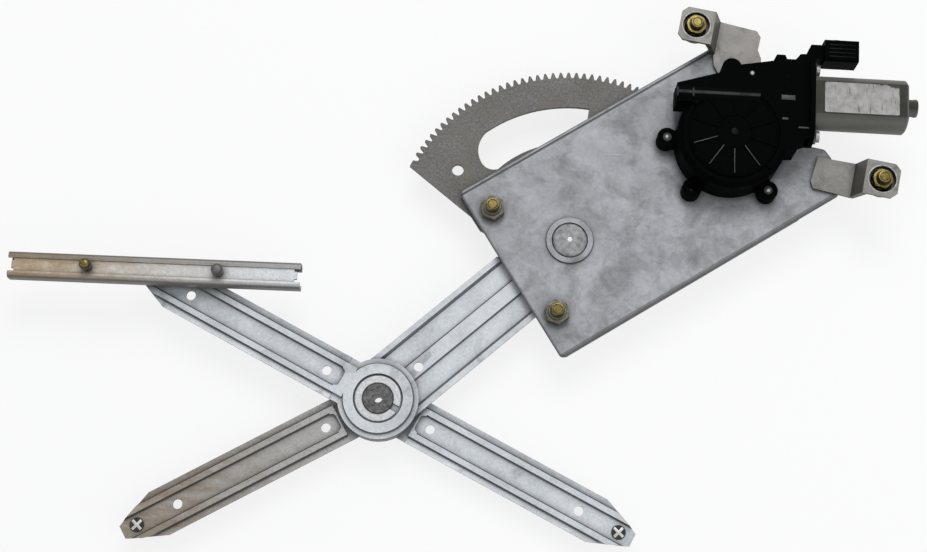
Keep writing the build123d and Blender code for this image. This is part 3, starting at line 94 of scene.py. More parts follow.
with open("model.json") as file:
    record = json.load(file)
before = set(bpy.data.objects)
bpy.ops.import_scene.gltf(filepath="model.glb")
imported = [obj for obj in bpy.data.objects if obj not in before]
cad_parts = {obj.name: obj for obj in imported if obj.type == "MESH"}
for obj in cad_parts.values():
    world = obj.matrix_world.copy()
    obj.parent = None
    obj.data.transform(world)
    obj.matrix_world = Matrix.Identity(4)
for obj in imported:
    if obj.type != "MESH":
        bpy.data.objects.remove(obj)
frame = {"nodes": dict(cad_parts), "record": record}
nodes = frame["nodes"]
cad_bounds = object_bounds()
lowest = min(corner[2] for corner in cad_bounds)


# Shader building

class Signal:
    """A value that varies over a surface. Python's operators on it add Math nodes."""

    def __init__(self, finish, socket):
        self.finish = finish
        self.socket = socket

    def math(self, operation, *others, clamp=False):
        """A Math node that takes this value first."""
        settings = {"operation": operation, "use_clamp": clamp}
        node = self.finish.add("ShaderNodeMath", settings, (self, *others))
        return Signal(self.finish, node.outputs[0])

    def __add__(self, other):
        return self.math("ADD", other)

    __radd__ = __add__

    def __sub__(self, other):
        return self.math("SUBTRACT", other)

    def __mul__(self, other):
        return self.math("MULTIPLY", other)

    def __abs__(self):
        return self.math("ABSOLUTE")

    def clamped(self):
        return self.math("ADD", 0.0, clamp=True)


class Finish:
    """One procedural material with a Principled shader at its end."""

    def __init__(self, name):
        self.material = bpy.data.materials.new(name)
        self.material.use_nodes = True
        self.tree = self.material.node_tree
        self.tree.nodes.clear()
        self.shader = self.add("ShaderNodeBsdfPrincipled")
        self.add("ShaderNodeOutputMaterial", {}, {"Surface": self.shader.outputs[0]})

    def feed(self, socket, value):
        """Links the socket to a signal or another socket, or sets its value."""
        source = getattr(value, "socket", value)
        if isinstance(source, bpy.types.NodeSocket):
            self.tree.links.new(source, socket)
        elif socket.type == "RGBA":
            socket.default_value = (*source, 1.0)
        else:
            socket.default_value = source

    def add(self, kind, settings=None, inputs=()):
        """Any node: its settings first, then the values or links of its sockets."""
        node = self.tree.nodes.new(kind)
        for key, value in (settings or {}).items():
            setattr(node, key, value)
        pairs = inputs.items() if isinstance(inputs, dict) else enumerate(inputs)
        for key, value in pairs:
            self.feed(node.inputs[key], value)
        return node

    def place(self, stretch=(1.0, 1.0, 1.0), turn=0.0):
        """Object coordinates, stretched and turned about Z."""
        source = self.add("ShaderNodeTexCoord").outputs["Object"]
        turned_about_z = (0.0, 0.0, math.radians(turn))
        inputs = {"Vector": source, "Rotation": turned_about_z, "Scale": stretch}
        return self.add("ShaderNodeMapping", {"vector_type": "POINT"}, inputs).outputs[0]

    def coordinate(self, axis, turn=0.0):
        """Object coordinate 0, 1 or 2, in metres, along axes turned about Z."""
        parts = self.add("ShaderNodeSeparateXYZ", {}, {"Vector": self.place(turn=-turn)})
        return Signal(self, parts.outputs[axis])

    def noise(self, size_mm, detail=3.0, roughness=0.55, where=None, distortion=0.0):
        """Soft noise whose blotches are about this many millimetres across."""
        inputs = {
            "Vector": where or self.place(),
            "Scale": 1.0 / (size_mm * MM),
            "Detail": detail,
            "Roughness": roughness,
            "Distortion": distortion,
        }
        return Signal(self, self.add("ShaderNodeTexNoise", {}, inputs).outputs[0])

    def grains(self, size_mm):
        """A random tone for each crystal of a spangled coating."""
        inputs = {"Vector": self.place(), "Scale": 1.0 / (size_mm * MM)}
        cells = self.add("ShaderNodeTexVoronoi", {"feature": "F1"}, inputs)
        tones = self.add("ShaderNodeSeparateColor", {}, {"Color": cells.outputs["Color"]})
        return Signal(self, tones.outputs[0])

    def ramp(self, value, low, high):
        """The value's range from low to high, spread from 0 to 1."""
        inputs = {"Value": value, "From Min": low, "From Max": high, "To Min": 0.0, "To Max": 1.0}
        return Signal(self, self.add("ShaderNodeMapRange", {"clamp": True}, inputs).outputs[0])

    def blend(self, mask, first, second):
        """Two colours mixed by a mask."""
        inputs = {"Factor": mask, 6: first, 7: second}
        return self.add("ShaderNodeMix", {"data_type": "RGBA"}, inputs).outputs[2]

    def bends(self):
        """A mask of what isn't level: the walls of ribs, holes and cut edges."""
        normal = self.add("ShaderNodeNewGeometry").outputs["Normal"]
        facing = self.add("ShaderNodeSeparateXYZ", {}, {"Vector": normal})
        return self.ramp(abs(Signal(self, facing.outputs[2])), 0.97, 0.6)

    def corners(self, reach_mm):
        """A mask of inside corners and gaps, where painted shade is put."""
        inputs = {"Distance": reach_mm * MM}
        open_share = self.add("ShaderNodeAmbientOcclusion", {"samples": 8}, inputs)
        return self.ramp(Signal(self, open_share.outputs[1]), 0.98, 0.62)

    def banded(self, base, stain_and_shade, turn, bands):
        """Bands of painted shade along a strip, each where its fade starts and ends, and a share.
        """
        across = self.coordinate(1, turn)
        for start, end, share in bands:
            mask = self.ramp(across, start * MM, end * MM)
            base = self.blend(mask * share, base, stain_and_shade)
        return base

    def lined(self, base, stain_and_shade, turn, lines):
        """Dark lines of painted shade along a strip, each a middle, a half width and a share."""
        across = self.coordinate(1, turn)
        for middle, half, share in lines:
            distance = abs(across - middle * MM)
            base = self.blend(self.ramp(distance, half * MM, half * 0.5 * MM) * share, base, stain_and_shade)
        return base

    def relief(self, height, depth_mm, strength):
        """A bump from a height signal."""
        inputs = {"Height": height, "Distance": depth_mm * MM, "Strength": strength}
        return self.add("ShaderNodeBump", {}, inputs).outputs["Normal"]

    def surface(self, **values):
        """Values or links of the Principled shader, named in lower case."""
        for key, value in values.items():
            name = key.replace("_", " ").title().replace("Ior", "IOR")
            self.feed(self.shader.inputs[name], value)
        return self.material


# Kinds of finish

# How far the painted shade in inside corners reaches, in millimetres
SHADE_REACH = 4.5
SHEET_METALLIC = 0.22
CREST_HIGHLIGHT = (0.05, 0.052, 0.055)
CREST_DEPTH = 0.12
SHADE_LINE_COLOUR = (0.03, 0.03, 0.03)


def pressed_zinc(
    name, pale, dull, stain_and_shade, grain_mm, gloss, stain_share, patch_mm, turn, bands=(), lines=()
):
    """Zinc coated sheet: crystals, dull patches and rubbed stains, with painted shade on its bends
    and cut edges and in its inside corners.
    """
    f = Finish(name)
    crystals = f.grains(grain_mm)
    cloud = f.ramp(f.noise(patch_mm, 4.0, 0.6), 0.32, 0.68)
    fine = f.noise(2.2, 5.0, 0.7)
    speck = f.noise(0.7, 2.0, 0.6)
    blots = f.noise(patch_mm * 0.7, 6.0, 0.62, distortion=0.6)
    stains = f.ramp(blots, 0.62 - 0.12 * stain_share, 0.74)
    scratches = f.ramp(f.noise(1.1, 2.0, where=f.place((0.05, 1.0, 1.0), turn)), 0.63, 0.72)
    # Painted shade: walls, cut edges and inside corners darkened towards the stain colour
    darkening = (f.bends() * 0.8 + f.corners(SHADE_REACH) * 0.75).clamped() * 0.9
    tone = (crystals * 0.3 + cloud * 0.55 + fine * 0.5 + speck * 0.4 - 0.33).clamped()
    base = f.blend(tone, dull, pale)
    base = f.blend(stains * 0.6, base, stain_and_shade)
    base = f.blend(scratches * 0.2, base, pale)
    base = f.banded(base, stain_and_shade, turn, bands)
    base = f.blend(darkening, base, stain_and_shade)
    base = f.lined(base, SHADE_LINE_COLOUR, turn, lines)
    rough = gloss + crystals * 0.1 + stains * 0.12 - scratches * 0.08
    normal = f.relief(fine * 0.5 + f.noise(0.5, 2.0) * 0.5, 0.08, 0.6)
    return f.surface(base_color=base, metallic=SHEET_METALLIC, roughness=rough, normal=normal)


def warmed(name, far, near, cold, warm, stain_and_shade, turn=0.0, bands=()):
    """Zinc coated sheet that turns from grey to brown along its length, with bands of painted
    shade, and painted shade on its bends and in its corners.
    """
    f = Finish(name)
    along = f.ramp(f.coordinate(0), near * MM, far * MM)
    fine = f.noise(2.0, 5.0, 0.7)
    speck = f.noise(0.8, 3.0, 0.65)
    streaks = f.ramp(f.noise(5.0, 5.0, 0.65, where=f.place((0.3, 1.0, 1.0))), 0.35, 0.68)
    tint = f.blend((along * 0.75 + along * streaks * 0.7).clamped(), cold, warm)
    dulled = fine * 0.7 + speck * 0.6 - 0.4 + along * (streaks - 0.5) * 0.25
    base = f.blend(dulled.clamped(), tint, stain_and_shade)
    base = f.banded(base, stain_and_shade, turn, bands)
    # Painted shade on walls and in inside corners
    darkening = (f.bends() * 0.75 + f.corners(SHADE_REACH) * 0.75).clamped() * 0.9
    base = f.blend(darkening, base, stain_and_shade)
    rough = 0.42 + speck * 0.15
    normal = f.relief(fine * 0.5 + speck * 0.5, 0.08, 0.6)
    return f.surface(base_color=base, metallic=SHEET_METALLIC, roughness=rough, normal=normal)


def bare_steel(name, pale, dull, brown, gloss):
    """Uncoated pressed steel with the dark speckle of old oil, and painted shade on its walls and
    in its inside corners.
    """
    f = Finish(name)
    speckle = f.ramp(f.noise(1.5, 5.0, 0.75), 0.38, 0.66)
    rust = f.ramp(f.noise(18.0, 5.0, 0.65), 0.45, 0.68)
    tone = (speckle * 0.65 + f.noise(22.0, 4.0, 0.6) * 0.5 - 0.1).clamped()
    base = f.blend(rust * 0.55, f.blend(tone, dull, pale), brown)
    # Painted shade: walls and inside corners darkened to the dull colour
    base = f.blend((f.bends() * 0.5 + f.corners(3.0) * 0.6).clamped(), base, dull)
    rough = gloss + speckle * 0.15
    normal = f.relief(speckle, 0.1, 0.6)
    return f.surface(base_color=base, metallic=0.2, roughness=rough, normal=normal)


def machined(
    name, colour, wear_and_shade, gloss, metal, wear_mm=5.0, edge=0.4, shine=0.5, side=None,
    streak=(1.0, 1.0, 1.0),
):
    """Plated or turned metal with fine grain and handling marks, and painted shade on its walls; a
    paler side colour paints light there instead.
    """
    f = Finish(name)
    grain = f.noise(0.6, 3.0, where=f.place(streak))
    marks = f.noise(wear_mm, 5.0, 0.6)
    mask = (f.ramp(marks, 0.3, 0.7) * 0.7 + grain * 0.4).clamped()
    # Painted shade on walls and sides, by the share edge; a paler side colour is painted light
    base = f.blend(f.bends() * edge, f.blend(mask, wear_and_shade, colour), side or wear_and_shade)
    return f.surface(
        base_color=base,
        metallic=metal,
        roughness=gloss + marks * 0.18,
        specular_ior_level=shine,
        normal=f.relief(grain, 0.03, 0.4),
    )


def moulded(name, colour, worn_and_sheen, gloss, shine, grain_mm=0.35, crest=None):
    """Glass-filled moulding: flow marks, fine grain and paler rubbed places, with a painted
    highlight along the crest when its height is given.
    """
    f = Finish(name)
    flow = f.noise(14.0, 4.0)
    grain = f.noise(grain_mm, 2.0)
    rubbed = f.ramp(f.noise(4.0, 6.0, 0.6), 0.6, 0.78)
    base = f.blend((rubbed * 0.5 + flow * 0.25).clamped(), colour, worn_and_sheen)
    if crest:
        # Painted highlight: a pale line along the top of the crest
        height = f.ramp(f.coordinate(2), (crest - CREST_DEPTH) * MM, crest * MM)
        base = f.blend(height * f.ramp(flow, 0.35, 0.6), base, CREST_HIGHLIGHT)
    return f.surface(
        base_color=base,
        roughness=gloss + flow * 0.2 - rubbed * 0.1,
        specular_ior_level=shine,
        normal=f.relief(grain * 0.6 + flow * 0.4, 0.08, 0.5),
    )


def old_paper(name, paper, darkening, shown_metal):
    """A bare paper label: dirt, brown folds, and paper torn away towards one corner."""
    f = Finish(name)
    along = f.ramp(f.coordinate(0, MOTOR_TURN), *(end * MM for end in TORN_ALONG))
    across = f.ramp(f.coordinate(1, MOTOR_TURN), *(end * MM for end in TORN_ACROSS))
    cloud = f.noise(5.0, 5.0, 0.65)
    specks = f.ramp(f.noise(0.9, 3.0, 0.7), 0.6, 0.72)
    folds = f.ramp(f.noise(1.6, 3.0, 0.6, where=f.place((1.0, 0.14, 1.0))), 0.6, 0.7)
    torn = f.ramp(across * along * 0.8 + f.noise(3.5, 5.0, 0.7) * 0.7, 0.78, 0.82)
    base = f.blend(f.ramp(cloud, 0.4, 0.75) * 0.6, paper, darkening)
    base = f.blend((specks * 0.5 + folds * 0.8).clamped(), base, darkening)
    return f.surface(
        base_color=f.blend(torn, base, shown_metal),
        roughness=0.6 + cloud * 0.15,
        specular_ior_level=0.2,
        normal=f.relief(cloud * 0.3 - torn * 0.7, 0.06, 0.7),
    )


# Finishes by the record's material slots

finishes = {
    "zinc_plate": pressed_zinc(
        "plate_zinc", (0.37, 0.38, 0.40), (0.135, 0.14, 0.15), (0.07, 0.07, 0.07),
        grain_mm=2.4, gloss=0.46, stain_share=1.1, patch_mm=26.0, turn=PLATE_TURN,
        # Painted shade: a dark band along the lower turned edge, and dark lines along the bends
        bands=((-58.4, -59.1, 0.8),), lines=((53.9, 0.9, 0.95), (-58.4, 0.4, 0.6)),
    ),
    "zinc_arm": pressed_zinc(
        "arm_zinc", (0.60, 0.63, 0.66), (0.33, 0.35, 0.37), (0.06, 0.06, 0.064),
        grain_mm=1.2, gloss=0.4, stain_share=0.3, patch_mm=34.0, turn=ARM_TURN,
    ),
    "zinc_rail": warmed(
        "rail_zinc", -300.0, -150.0,
        (0.72, 0.75, 0.78), (0.44, 0.325, 0.197), (0.095, 0.081, 0.067),
        turn=RAIL_TURN,
        # Painted shade: dark bands along the lips and under the upper lip
        bands=(
            (-11.95, -11.8, 0.62), (-9.8, -8.8, 0.85), (-22.5, -22.9, 0.5), (-21.1, -21.3, 0.35),
        ),
    ),
    "dark_steel": bare_steel(
        "gear_steel", (0.225, 0.22, 0.208), (0.033, 0.032, 0.029), (0.115, 0.096, 0.078), 0.55
    ),
    "bright_steel": machined(
        "bright_zinc", (0.46, 0.46, 0.46), (0.13, 0.13, 0.13), 0.34, 0.5, wear_mm=3.0
    ),
    "yellow_zinc": machined(
        "yellow_zinc", (0.215, 0.165, 0.04), (0.016, 0.014, 0.007), 0.2, 0.7,
        wear_mm=1.5, edge=0.8,
    ),
    "can_steel": machined(
        "can_steel", (0.04, 0.04, 0.034), (0.013, 0.013, 0.011), 0.36, 0.15,
        # Painted light: the can's rounded sides paler than its flats
        wear_mm=7.0, edge=0.9, shine=0.12, side=(0.15, 0.148, 0.135), streak=(0.04, 1.0, 1.0),
    ),
    "black_plastic": moulded(
        "black_nylon", (0.0007, 0.0008, 0.0009), (0.0035, 0.004, 0.004), 0.38, 0.008
    ),
    "nylon": moulded("natural_nylon", (0.72, 0.70, 0.63), (0.60, 0.58, 0.52), 0.4, 0.4),
    "rubber": moulded("damper_rubber", (0.012, 0.012, 0.012), (0.03, 0.03, 0.03), 0.6, 0.1),
    "magnet": machined("ferrite", (0.09, 0.09, 0.1), (0.05, 0.05, 0.055), 0.5, 0.3),
    "carbon": machined("brush_carbon", (0.06, 0.06, 0.06), (0.03, 0.03, 0.03), 0.5, 0.2),
    "bronze": machined("bearing_bronze", (0.45, 0.30, 0.15), (0.28, 0.18, 0.09), 0.35, 0.9),
    "terminal_brass": machined("blade_metal", (0.62, 0.50, 0.26), (0.42, 0.32, 0.15), 0.28, 0.95),
}
for entry in frame["record"]["subparts"]:
    mesh = nodes[entry["node"]].data
    mesh.materials.clear()
    mesh.materials.append(finishes[entry["material_slot"]])

# Finishes of single nodes, in place of their slot's

bracket_zinc = pressed_zinc(
    "bracket_zinc", (0.26, 0.252, 0.232), (0.12, 0.115, 0.103), (0.05, 0.047, 0.041),
    grain_mm=1.6, gloss=0.42, stain_share=0.8, patch_mm=16.0, turn=BRACKET_TURN,
)
own_finishes = {
    "upper_bracket": bracket_zinc,
    "right_bracket": bracket_zinc,
    "main_arm_lower": warmed(
        "glass_arm_zinc", -225.0, -95.0,
        (0.48, 0.49, 0.50), (0.30, 0.25, 0.195), (0.055, 0.048, 0.04),
    ),
    "centre_pivot": machined(
        "pivot_steel", (0.17, 0.17, 0.17), (0.003, 0.003, 0.003), 0.28, 0.4,
        wear_mm=2.4, edge=0.7, shine=0.2,
    ),
    "retaining_ring": machined(
        "ring_steel", (0.62, 0.63, 0.64), (0.30, 0.30, 0.31), 0.3, 0.4, wear_mm=1.5, edge=0.8
    ),
    "rail_stud_right": machined(
        "grey_stud", (0.16, 0.155, 0.15), (0.035, 0.035, 0.035), 0.35, 0.5, wear_mm=2.0
    ),
    "mounting_screws": machined(
        "oiled_screw", (0.03, 0.03, 0.03), (0.008, 0.008, 0.008), 0.35, 0.3,
        wear_mm=2.0, shine=0.2,
    ),
}
for node, finish in own_finishes.items():
    nodes[node].data.materials.clear()
    nodes[node].data.materials.append(finish)

# Finishes of the pieces that are modelled below

peened = machined(
    "peened_steel", (0.37, 0.375, 0.385), (0.06, 0.06, 0.06), 0.42, 0.3,
    wear_mm=3.2, edge=0.6, shine=0.3,
)
# Near black: painted shade for gaps, and for the pockets beside the stake crosses
painted_gap_shade = moulded("painted_gap_shade", (0.018, 0.017, 0.015), (0.05, 0.046, 0.04), 0.5, 0.3)
# Black nylon with a painted highlight along the worm ridge's crest
ridge_nylon = moulded(
    "ridge_nylon", (0.0008, 0.0009, 0.001), (0.0035, 0.004, 0.004), 0.24, 0.015, crest=28.5
)
raised_nylon = moulded(
    "smooth_nylon", (0.0016, 0.0017, 0.0019), (0.009, 0.0095, 0.01), 0.24, 0.06
)
aged_nut = machined(
    "aged_nut", (0.20, 0.178, 0.125), (0.04, 0.038, 0.034), 0.32, 0.55, wear_mm=1.6, edge=0.7
)
# Paler nylon: painted sheen on the pads and on four cover ribs
painted_sheen_nylon = moulded(
    "painted_sheen_nylon", (0.02, 0.021, 0.02), (0.07, 0.07, 0.066), 0.3, 0.3, grain_mm=0.6
)
label_paper = old_paper(
    "label_paper", (0.38, 0.375, 0.37), (0.12, 0.105, 0.085), (0.05, 0.048, 0.042)
)
# Bright steel for the stake crosses, and a painted glint for the dot on the main pivot's head
staked_and_glint = machined(
    "staked_steel", (0.60, 0.60, 0.58), (0.30, 0.30, 0.29), 0.3, 0.5, wear_mm=1.2
)
painted_rim_highlight = machined(
    "painted_rim_highlight", (0.46, 0.455, 0.44), (0.12, 0.117, 0.11), 0.40, 0.35, wear_mm=3.4, shine=0.35
)


# Modelling

def pick(piece):
    """Selects the piece alone and makes it active."""
    bpy.ops.object.select_all(action="DESELECT")
    piece.select_set(True)
    bpy.context.view_layer.objects.active = piece


def edit_all():
    """Opens the active piece's mesh with all of it selected."""
    bpy.ops.object.mode_set(mode="EDIT")
    bpy.ops.mesh.select_all(action="SELECT")


def edit_done():
    """Closes the mesh that was opened."""
    bpy.ops.object.mode_set(mode="OBJECT")


def apply_all():
    """Leaves the active piece at the origin, unturned and unscaled."""
    bpy.ops.object.transform_apply(location=True, rotation=True, scale=True)


def turned(name, profile, steps=48, solid=True):
    """A piece drawn up about Z from a circle, by (radius, height) pairs in millimetres."""
    radius, height = profile[0]
    bpy.ops.object.select_all(action="DESELECT")
    bpy.ops.mesh.primitive_circle_add(
        vertices=steps,
        radius=radius * MM,
        fill_type="NGON" if solid else "NOTHING",
        location=(0.0, 0.0, height * MM),
    )
    piece = bpy.context.object
    piece.name = name
    edit_all()
    for wider, higher in profile[1:]:
        rise = (0.0, 0.0, (higher - height) * MM)
        bpy.ops.mesh.extrude_region_move(TRANSFORM_OT_translate={"value": rise})
        share = wider / radius
        bpy.ops.transform.resize(
            value=(share, share, 1.0), center_override=(0.0, 0.0, higher * MM)
        )
        radius, height = wider, higher
    edit_done()
    apply_all()
    return piece


def bar(name, size, edge):
    """A bar with rounded edges about the origin, in millimetres."""
    bpy.ops.object.select_all(action="DESELECT")
    bpy.ops.mesh.primitive_cube_add(size=1.0)
    piece = bpy.context.object
    piece.name = name
    edit_all()
    bpy.ops.transform.resize(value=[side * MM for side in size])
    bpy.ops.mesh.bevel(offset=edge * MM, segments=2, affect="EDGES")
    edit_done()
    return piece


def cleaned(piece, place=(0.0, 0.0, 0.0), turn=(0.0, 0.0, 0.0), smooth=35.0):
    """The piece put in its place, with merged doubles and normals that point outward."""
    pick(piece)
    piece.location = [value * MM for value in place]
    piece.rotation_euler = [math.radians(value) for value in turn]
    apply_all()
    edit_all()
    bpy.ops.mesh.remove_doubles(threshold=0.001 * MM)
    bpy.ops.mesh.normals_make_consistent(inside=False)
    edit_done()
    bpy.ops.object.shade_smooth_by_angle(angle=math.radians(smooth))
    return piece


def copied(piece, name, shift):
    """Another of the same piece, moved by millimetres, with its own mesh."""
    pick(piece)
    bpy.ops.object.duplicate(linked=False)
    twin = bpy.context.object
    twin.name = name
    bpy.ops.transform.translate(value=[value * MM for value in shift])
    apply_all()
    return twin


def hung(piece, body, slot, finish=None):
    """Gives the piece its finish and lets it move with a body."""
    piece.data.materials.clear()
    piece.data.materials.append(finish or finishes[slot])
    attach(piece, body)


def hexagon_cut(piece, flats, turn):
    """Leaves of a turned blank what lies in a hexagon, so its chamfers end in curved edges."""
    bpy.ops.object.select_all(action="DESELECT")
    bpy.ops.mesh.primitive_cylinder_add(
        vertices=6,
        radius=flats / math.sqrt(3.0) * MM,
        depth=CUTTER_DEPTH * MM,
        rotation=(0.0, 0.0, math.radians(turn)),
    )
    hexagon = bpy.context.object
    bpy.context.view_layer.objects.active = piece
    cut = piece.modifiers.new("hexagon", "BOOLEAN")
    cut.operation = "INTERSECT"
    cut.object = hexagon
    bpy.ops.object.modifier_apply(modifier=cut.name)
    bpy.data.objects.remove(hexagon)
    return piece


THREAD_RADIUS = 4.05
THREAD_PITCH = 1.25
THREAD_DEPTH = 0.22


def thread(low, high):
    """The profile of a screw thread, as grooves from low to high."""
    points = []
    for ring in range(int((high - low) / THREAD_PITCH)):
        at = low + ring * THREAD_PITCH
        points += [
            (THREAD_RADIUS - THREAD_DEPTH, at),
            (THREAD_RADIUS, at + 0.4 * THREAD_PITCH),
            (THREAD_RADIUS, at + 0.6 * THREAD_PITCH),
        ]
    return points


def raised(profile, level):
    """The profile with its heights counted from a level."""
    return [(radius, level + rise) for radius, rise in profile]


def motor_point(along, across, level):
    """A point given along and across the worm's axis from the output shaft."""
    turn = math.radians(MOTOR_TURN)
    return (
        OUTPUT_AXIS[0] + along * math.cos(turn) - across * math.sin(turn),
        OUTPUT_AXIS[1] + along * math.sin(turn) + across * math.cos(turn),
        level,
    )


def way(start, end):
    """The way from one place to another at the same height."""
    return [there - here for here, there in zip(start, end)] + [0.0]


# Plate studs: threaded ends with a dimple, in tall locking nuts

plate_low, plate_high = PLATE_STUDS
plate_way = way(plate_low, plate_high)
end_profile = [(3.82, 8.6)] + thread(9.0, 13.9) + [(3.5, 14.45), (2.9, 14.5), (2.4, 14.1)]
end = cleaned(turned("plate_stud_end_lower", end_profile), (*plate_low, 0.0))
hung(copied(end, "plate_stud_end_upper", plate_way), "base", "yellow_zinc")
hung(end, "base", "yellow_zinc")
nut_profile = [
    (6.7, 0.02), (7.5, 0.6), (7.5, 5.9), (6.6, 6.6), (5.35, 6.9),
    (5.3, 8.9), (4.9, 9.4), (4.35, 9.45), (4.2, 8.7),
]
nut = hexagon_cut(turned("plate_nut_lower", nut_profile), *PLATE_NUT)
nut = cleaned(nut, (*plate_low, 0.0))
twin = copied(nut, "plate_nut_upper", plate_way)
for piece in (nut, twin):
    hung(piece, "base", "yellow_zinc", aged_nut)
    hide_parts("plate_nuts")

# Bracket studs: threaded ends in flanged nuts

bracket_low, bracket_high = BRACKET_STUDS
bracket_way = way(bracket_low, bracket_high)
end_profile = [(3.82, 16.4)] + thread(17.0, 20.7) + [(3.5, 21.4), (2.7, 21.5), (2.2, 21.1)]
end = cleaned(turned("bracket_stud_end_right", end_profile), (*bracket_low, 0.0))
hung(copied(end, "bracket_stud_end_upper", bracket_way), "base", "yellow_zinc")
hung(end, "base", "yellow_zinc")
nut_profile = [(6.0, 12.5), (6.35, 13.0), (6.35, 16.6), (5.7, 17.3), (4.5, 17.4), (4.25, 16.6)]
nut = hexagon_cut(turned("bracket_nut_right", nut_profile), *BRACKET_NUT)
nut = cleaned(nut, (*bracket_low, 0.0))
collar_profile = [(6.3, 11.03), (6.55, 11.3), (6.55, 12.2), (6.2, 12.9), (5.2, 13.5)]
collar = cleaned(turned("bracket_nut_flange_right", collar_profile), (*bracket_low, 0.0))
for piece, name in ((nut, "bracket_nut_upper"), (collar, "bracket_nut_flange_upper")):
    twin = copied(piece, name, bracket_way)
    for nut_part in (piece, twin):
        hung(nut_part, "base", "yellow_zinc")
        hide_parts("bracket_nuts")

# Brackets: a painted highlight on the edge of each dish

rim_profile = [
    (8.75, 15.9), (8.75, 16.03), (8.5, 16.1), (8.15, 16.1), (7.9, 15.95), (8.75, 15.9),
]
rim = turned("dish_rim_right", rim_profile, steps=64, solid=False)
rim = cleaned(rim, (*bracket_low, 0.0))
for piece in (copied(rim, "dish_rim_upper", bracket_way), rim):
    hung(piece, "base", "bright_steel", painted_rim_highlight)

# Main pivot: the peened head over the shaft's end, with a painted glint in its middle, and a dark
# ring of painted shade in the gap round it

PEEN_INSET, PEEN_DEPTH, COLLAR_DROP = 1.2, 0.12, 1.6
head_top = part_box("main_pivot")[1][2] / MM
head_profile = [
    (10.38, -1.75), (10.35, -1.5), (9.75, -0.8), (9.2, -0.62),
    (7.7, -0.22), (5.9, 0.02), (4.3, 0.12), (2.0, 0.2),
]
head = turned("pivot_head", raised(head_profile, head_top))
edit_all()
bpy.ops.mesh.inset(thickness=PEEN_INSET * MM)
bpy.ops.mesh.select_all(action="SELECT")
bpy.ops.transform.vertex_random(offset=PEEN_DEPTH * MM, seed=4)
edit_done()
hung(cleaned(head, (*MAIN_PIVOT, 0.0)), "base", "bright_steel", peened)
# Painted glint: a small bright dot in the middle of the head
glint_dot_profile = [(1.5, -0.1), (1.4, 0.3), (0.9, 0.42), (0.4, 0.34)]
glint_dot = turned("pivot_glint_dot", raised(glint_dot_profile, head_top), steps=32)
hung(cleaned(glint_dot, (*MAIN_PIVOT, 0.0), smooth=50.0), "base", "bright_steel", staked_and_glint)
collar_top = head_top - COLLAR_DROP
gap_profile = [(10.2, -0.3), (10.2, 0.1), (11.0, 0.04), (11.0, -0.3), (10.2, -0.3)]
gap = turned("pivot_gap", raised(gap_profile, collar_top), solid=False)
hung(cleaned(gap, (*MAIN_PIVOT, 0.0)), "base", "bright_steel", painted_gap_shade)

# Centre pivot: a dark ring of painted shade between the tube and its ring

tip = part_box("centre_pivot")[1][2] / MM
gap_profile = [(8.6, -1.0), (8.6, 0.12), (9.3, 0.06), (9.3, -1.0), (8.6, -1.0)]
gap = turned("centre_gap", raised(gap_profile, tip), steps=64, solid=False)
hung(cleaned(gap, (*CENTRE, 0.0)), "cross_arm", "bright_steel", painted_gap_shade)

# Rail studs: rounded ends

dome_profile = [
    (3.04, 12.0), (3.3, 12.3), (3.35, 17.6), (3.1, 18.6), (2.5, 19.25), (1.7, 19.6), (0.8, 19.75),
]
rail_ends = (
    ("rail_stud_left_end", RAIL_STUDS[0], "yellow_zinc", finishes["yellow_zinc"]),
    ("rail_stud_right_end", RAIL_STUDS[1], "bright_steel", own_finishes["rail_stud_right"]),
)
for name, middle, slot, finish in rail_ends:
    dome = turned(name, dome_profile)
    hung(cleaned(dome, (*middle, 0.0), smooth=60.0), "rail", slot, finish)

# Slide studs: ends staked with a cross, over dark discs of painted shade for its pockets

STAKE_LENGTH, STAKE_WIDTH, STAKE_EDGE, STAKE_RISE = 7.4, 1.7, 0.2, 0.12
pocket_profile = [(4.1, -0.6), (4.1, -0.1), (3.8, 0.15), (3.4, 0.15), (3.2, 0.02)]
for name, middle in (("main", MAIN_SLIDE), ("cross", CROSS_SLIDE)):
    body = f"{name}_arm"
    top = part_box(f"{name}_slide_stud")[1][2] / MM
    # Painted shade: a dark disc for the pockets between the cross's arms
    pocket = turned(f"{name}_stake_pocket", raised(pocket_profile, top))
    hung(cleaned(pocket, (*middle, 0.0)), body, "bright_steel", painted_gap_shade)
    for turn, thickness in ((45.0, 0.7), (135.0, 0.78)):
        size = (STAKE_LENGTH, STAKE_WIDTH, thickness)
        arm = bar(f"{name}_stake_{turn:.0f}", size, STAKE_EDGE)
        arm = cleaned(arm, (*middle, top + STAKE_RISE), (0.0, 0.0, turn))
        hung(arm, body, "bright_steel", staked_and_glint)

# Gearbox: worm ridge with its lips, pads and four ribs painted with sheen, cover rings, hub, and
# screw tips with painted glints

def ridge(name, start, end, radius):
    """A half-round rib round the worm, with its top proud of the housing."""
    length = end - start
    inner = radius - RIDGE_EDGE
    profile = [
        (inner, 0.0), (radius, RIDGE_EDGE), (radius, length - RIDGE_EDGE), (inner, length),
    ]
    rib = turned(name, profile, steps=56)
    cleaned(rib, motor_point(start, WORM_ACROSS, WORM_LEVEL), (0.0, 90.0, MOTOR_TURN))
    edit_all()
    bpy.ops.mesh.bisect(
        plane_co=(0.0, 0.0, WORM_TOP * MM),
        plane_no=(0.0, 0.0, 1.0),
        use_fill=True,
        clear_inner=True,
    )
    edit_done()
    hung(cleaned(rib), "base", "black_plastic", ridge_nylon)


for name, start, end, radius in (
    ("worm_ridge", -34.3, 15.0, 5.6),
    ("worm_lip_end", -34.35, -33.2, 6.3),
    ("worm_lip_inner", -25.2, -24.0, 6.3),
):
    ridge(name, start, end, radius)
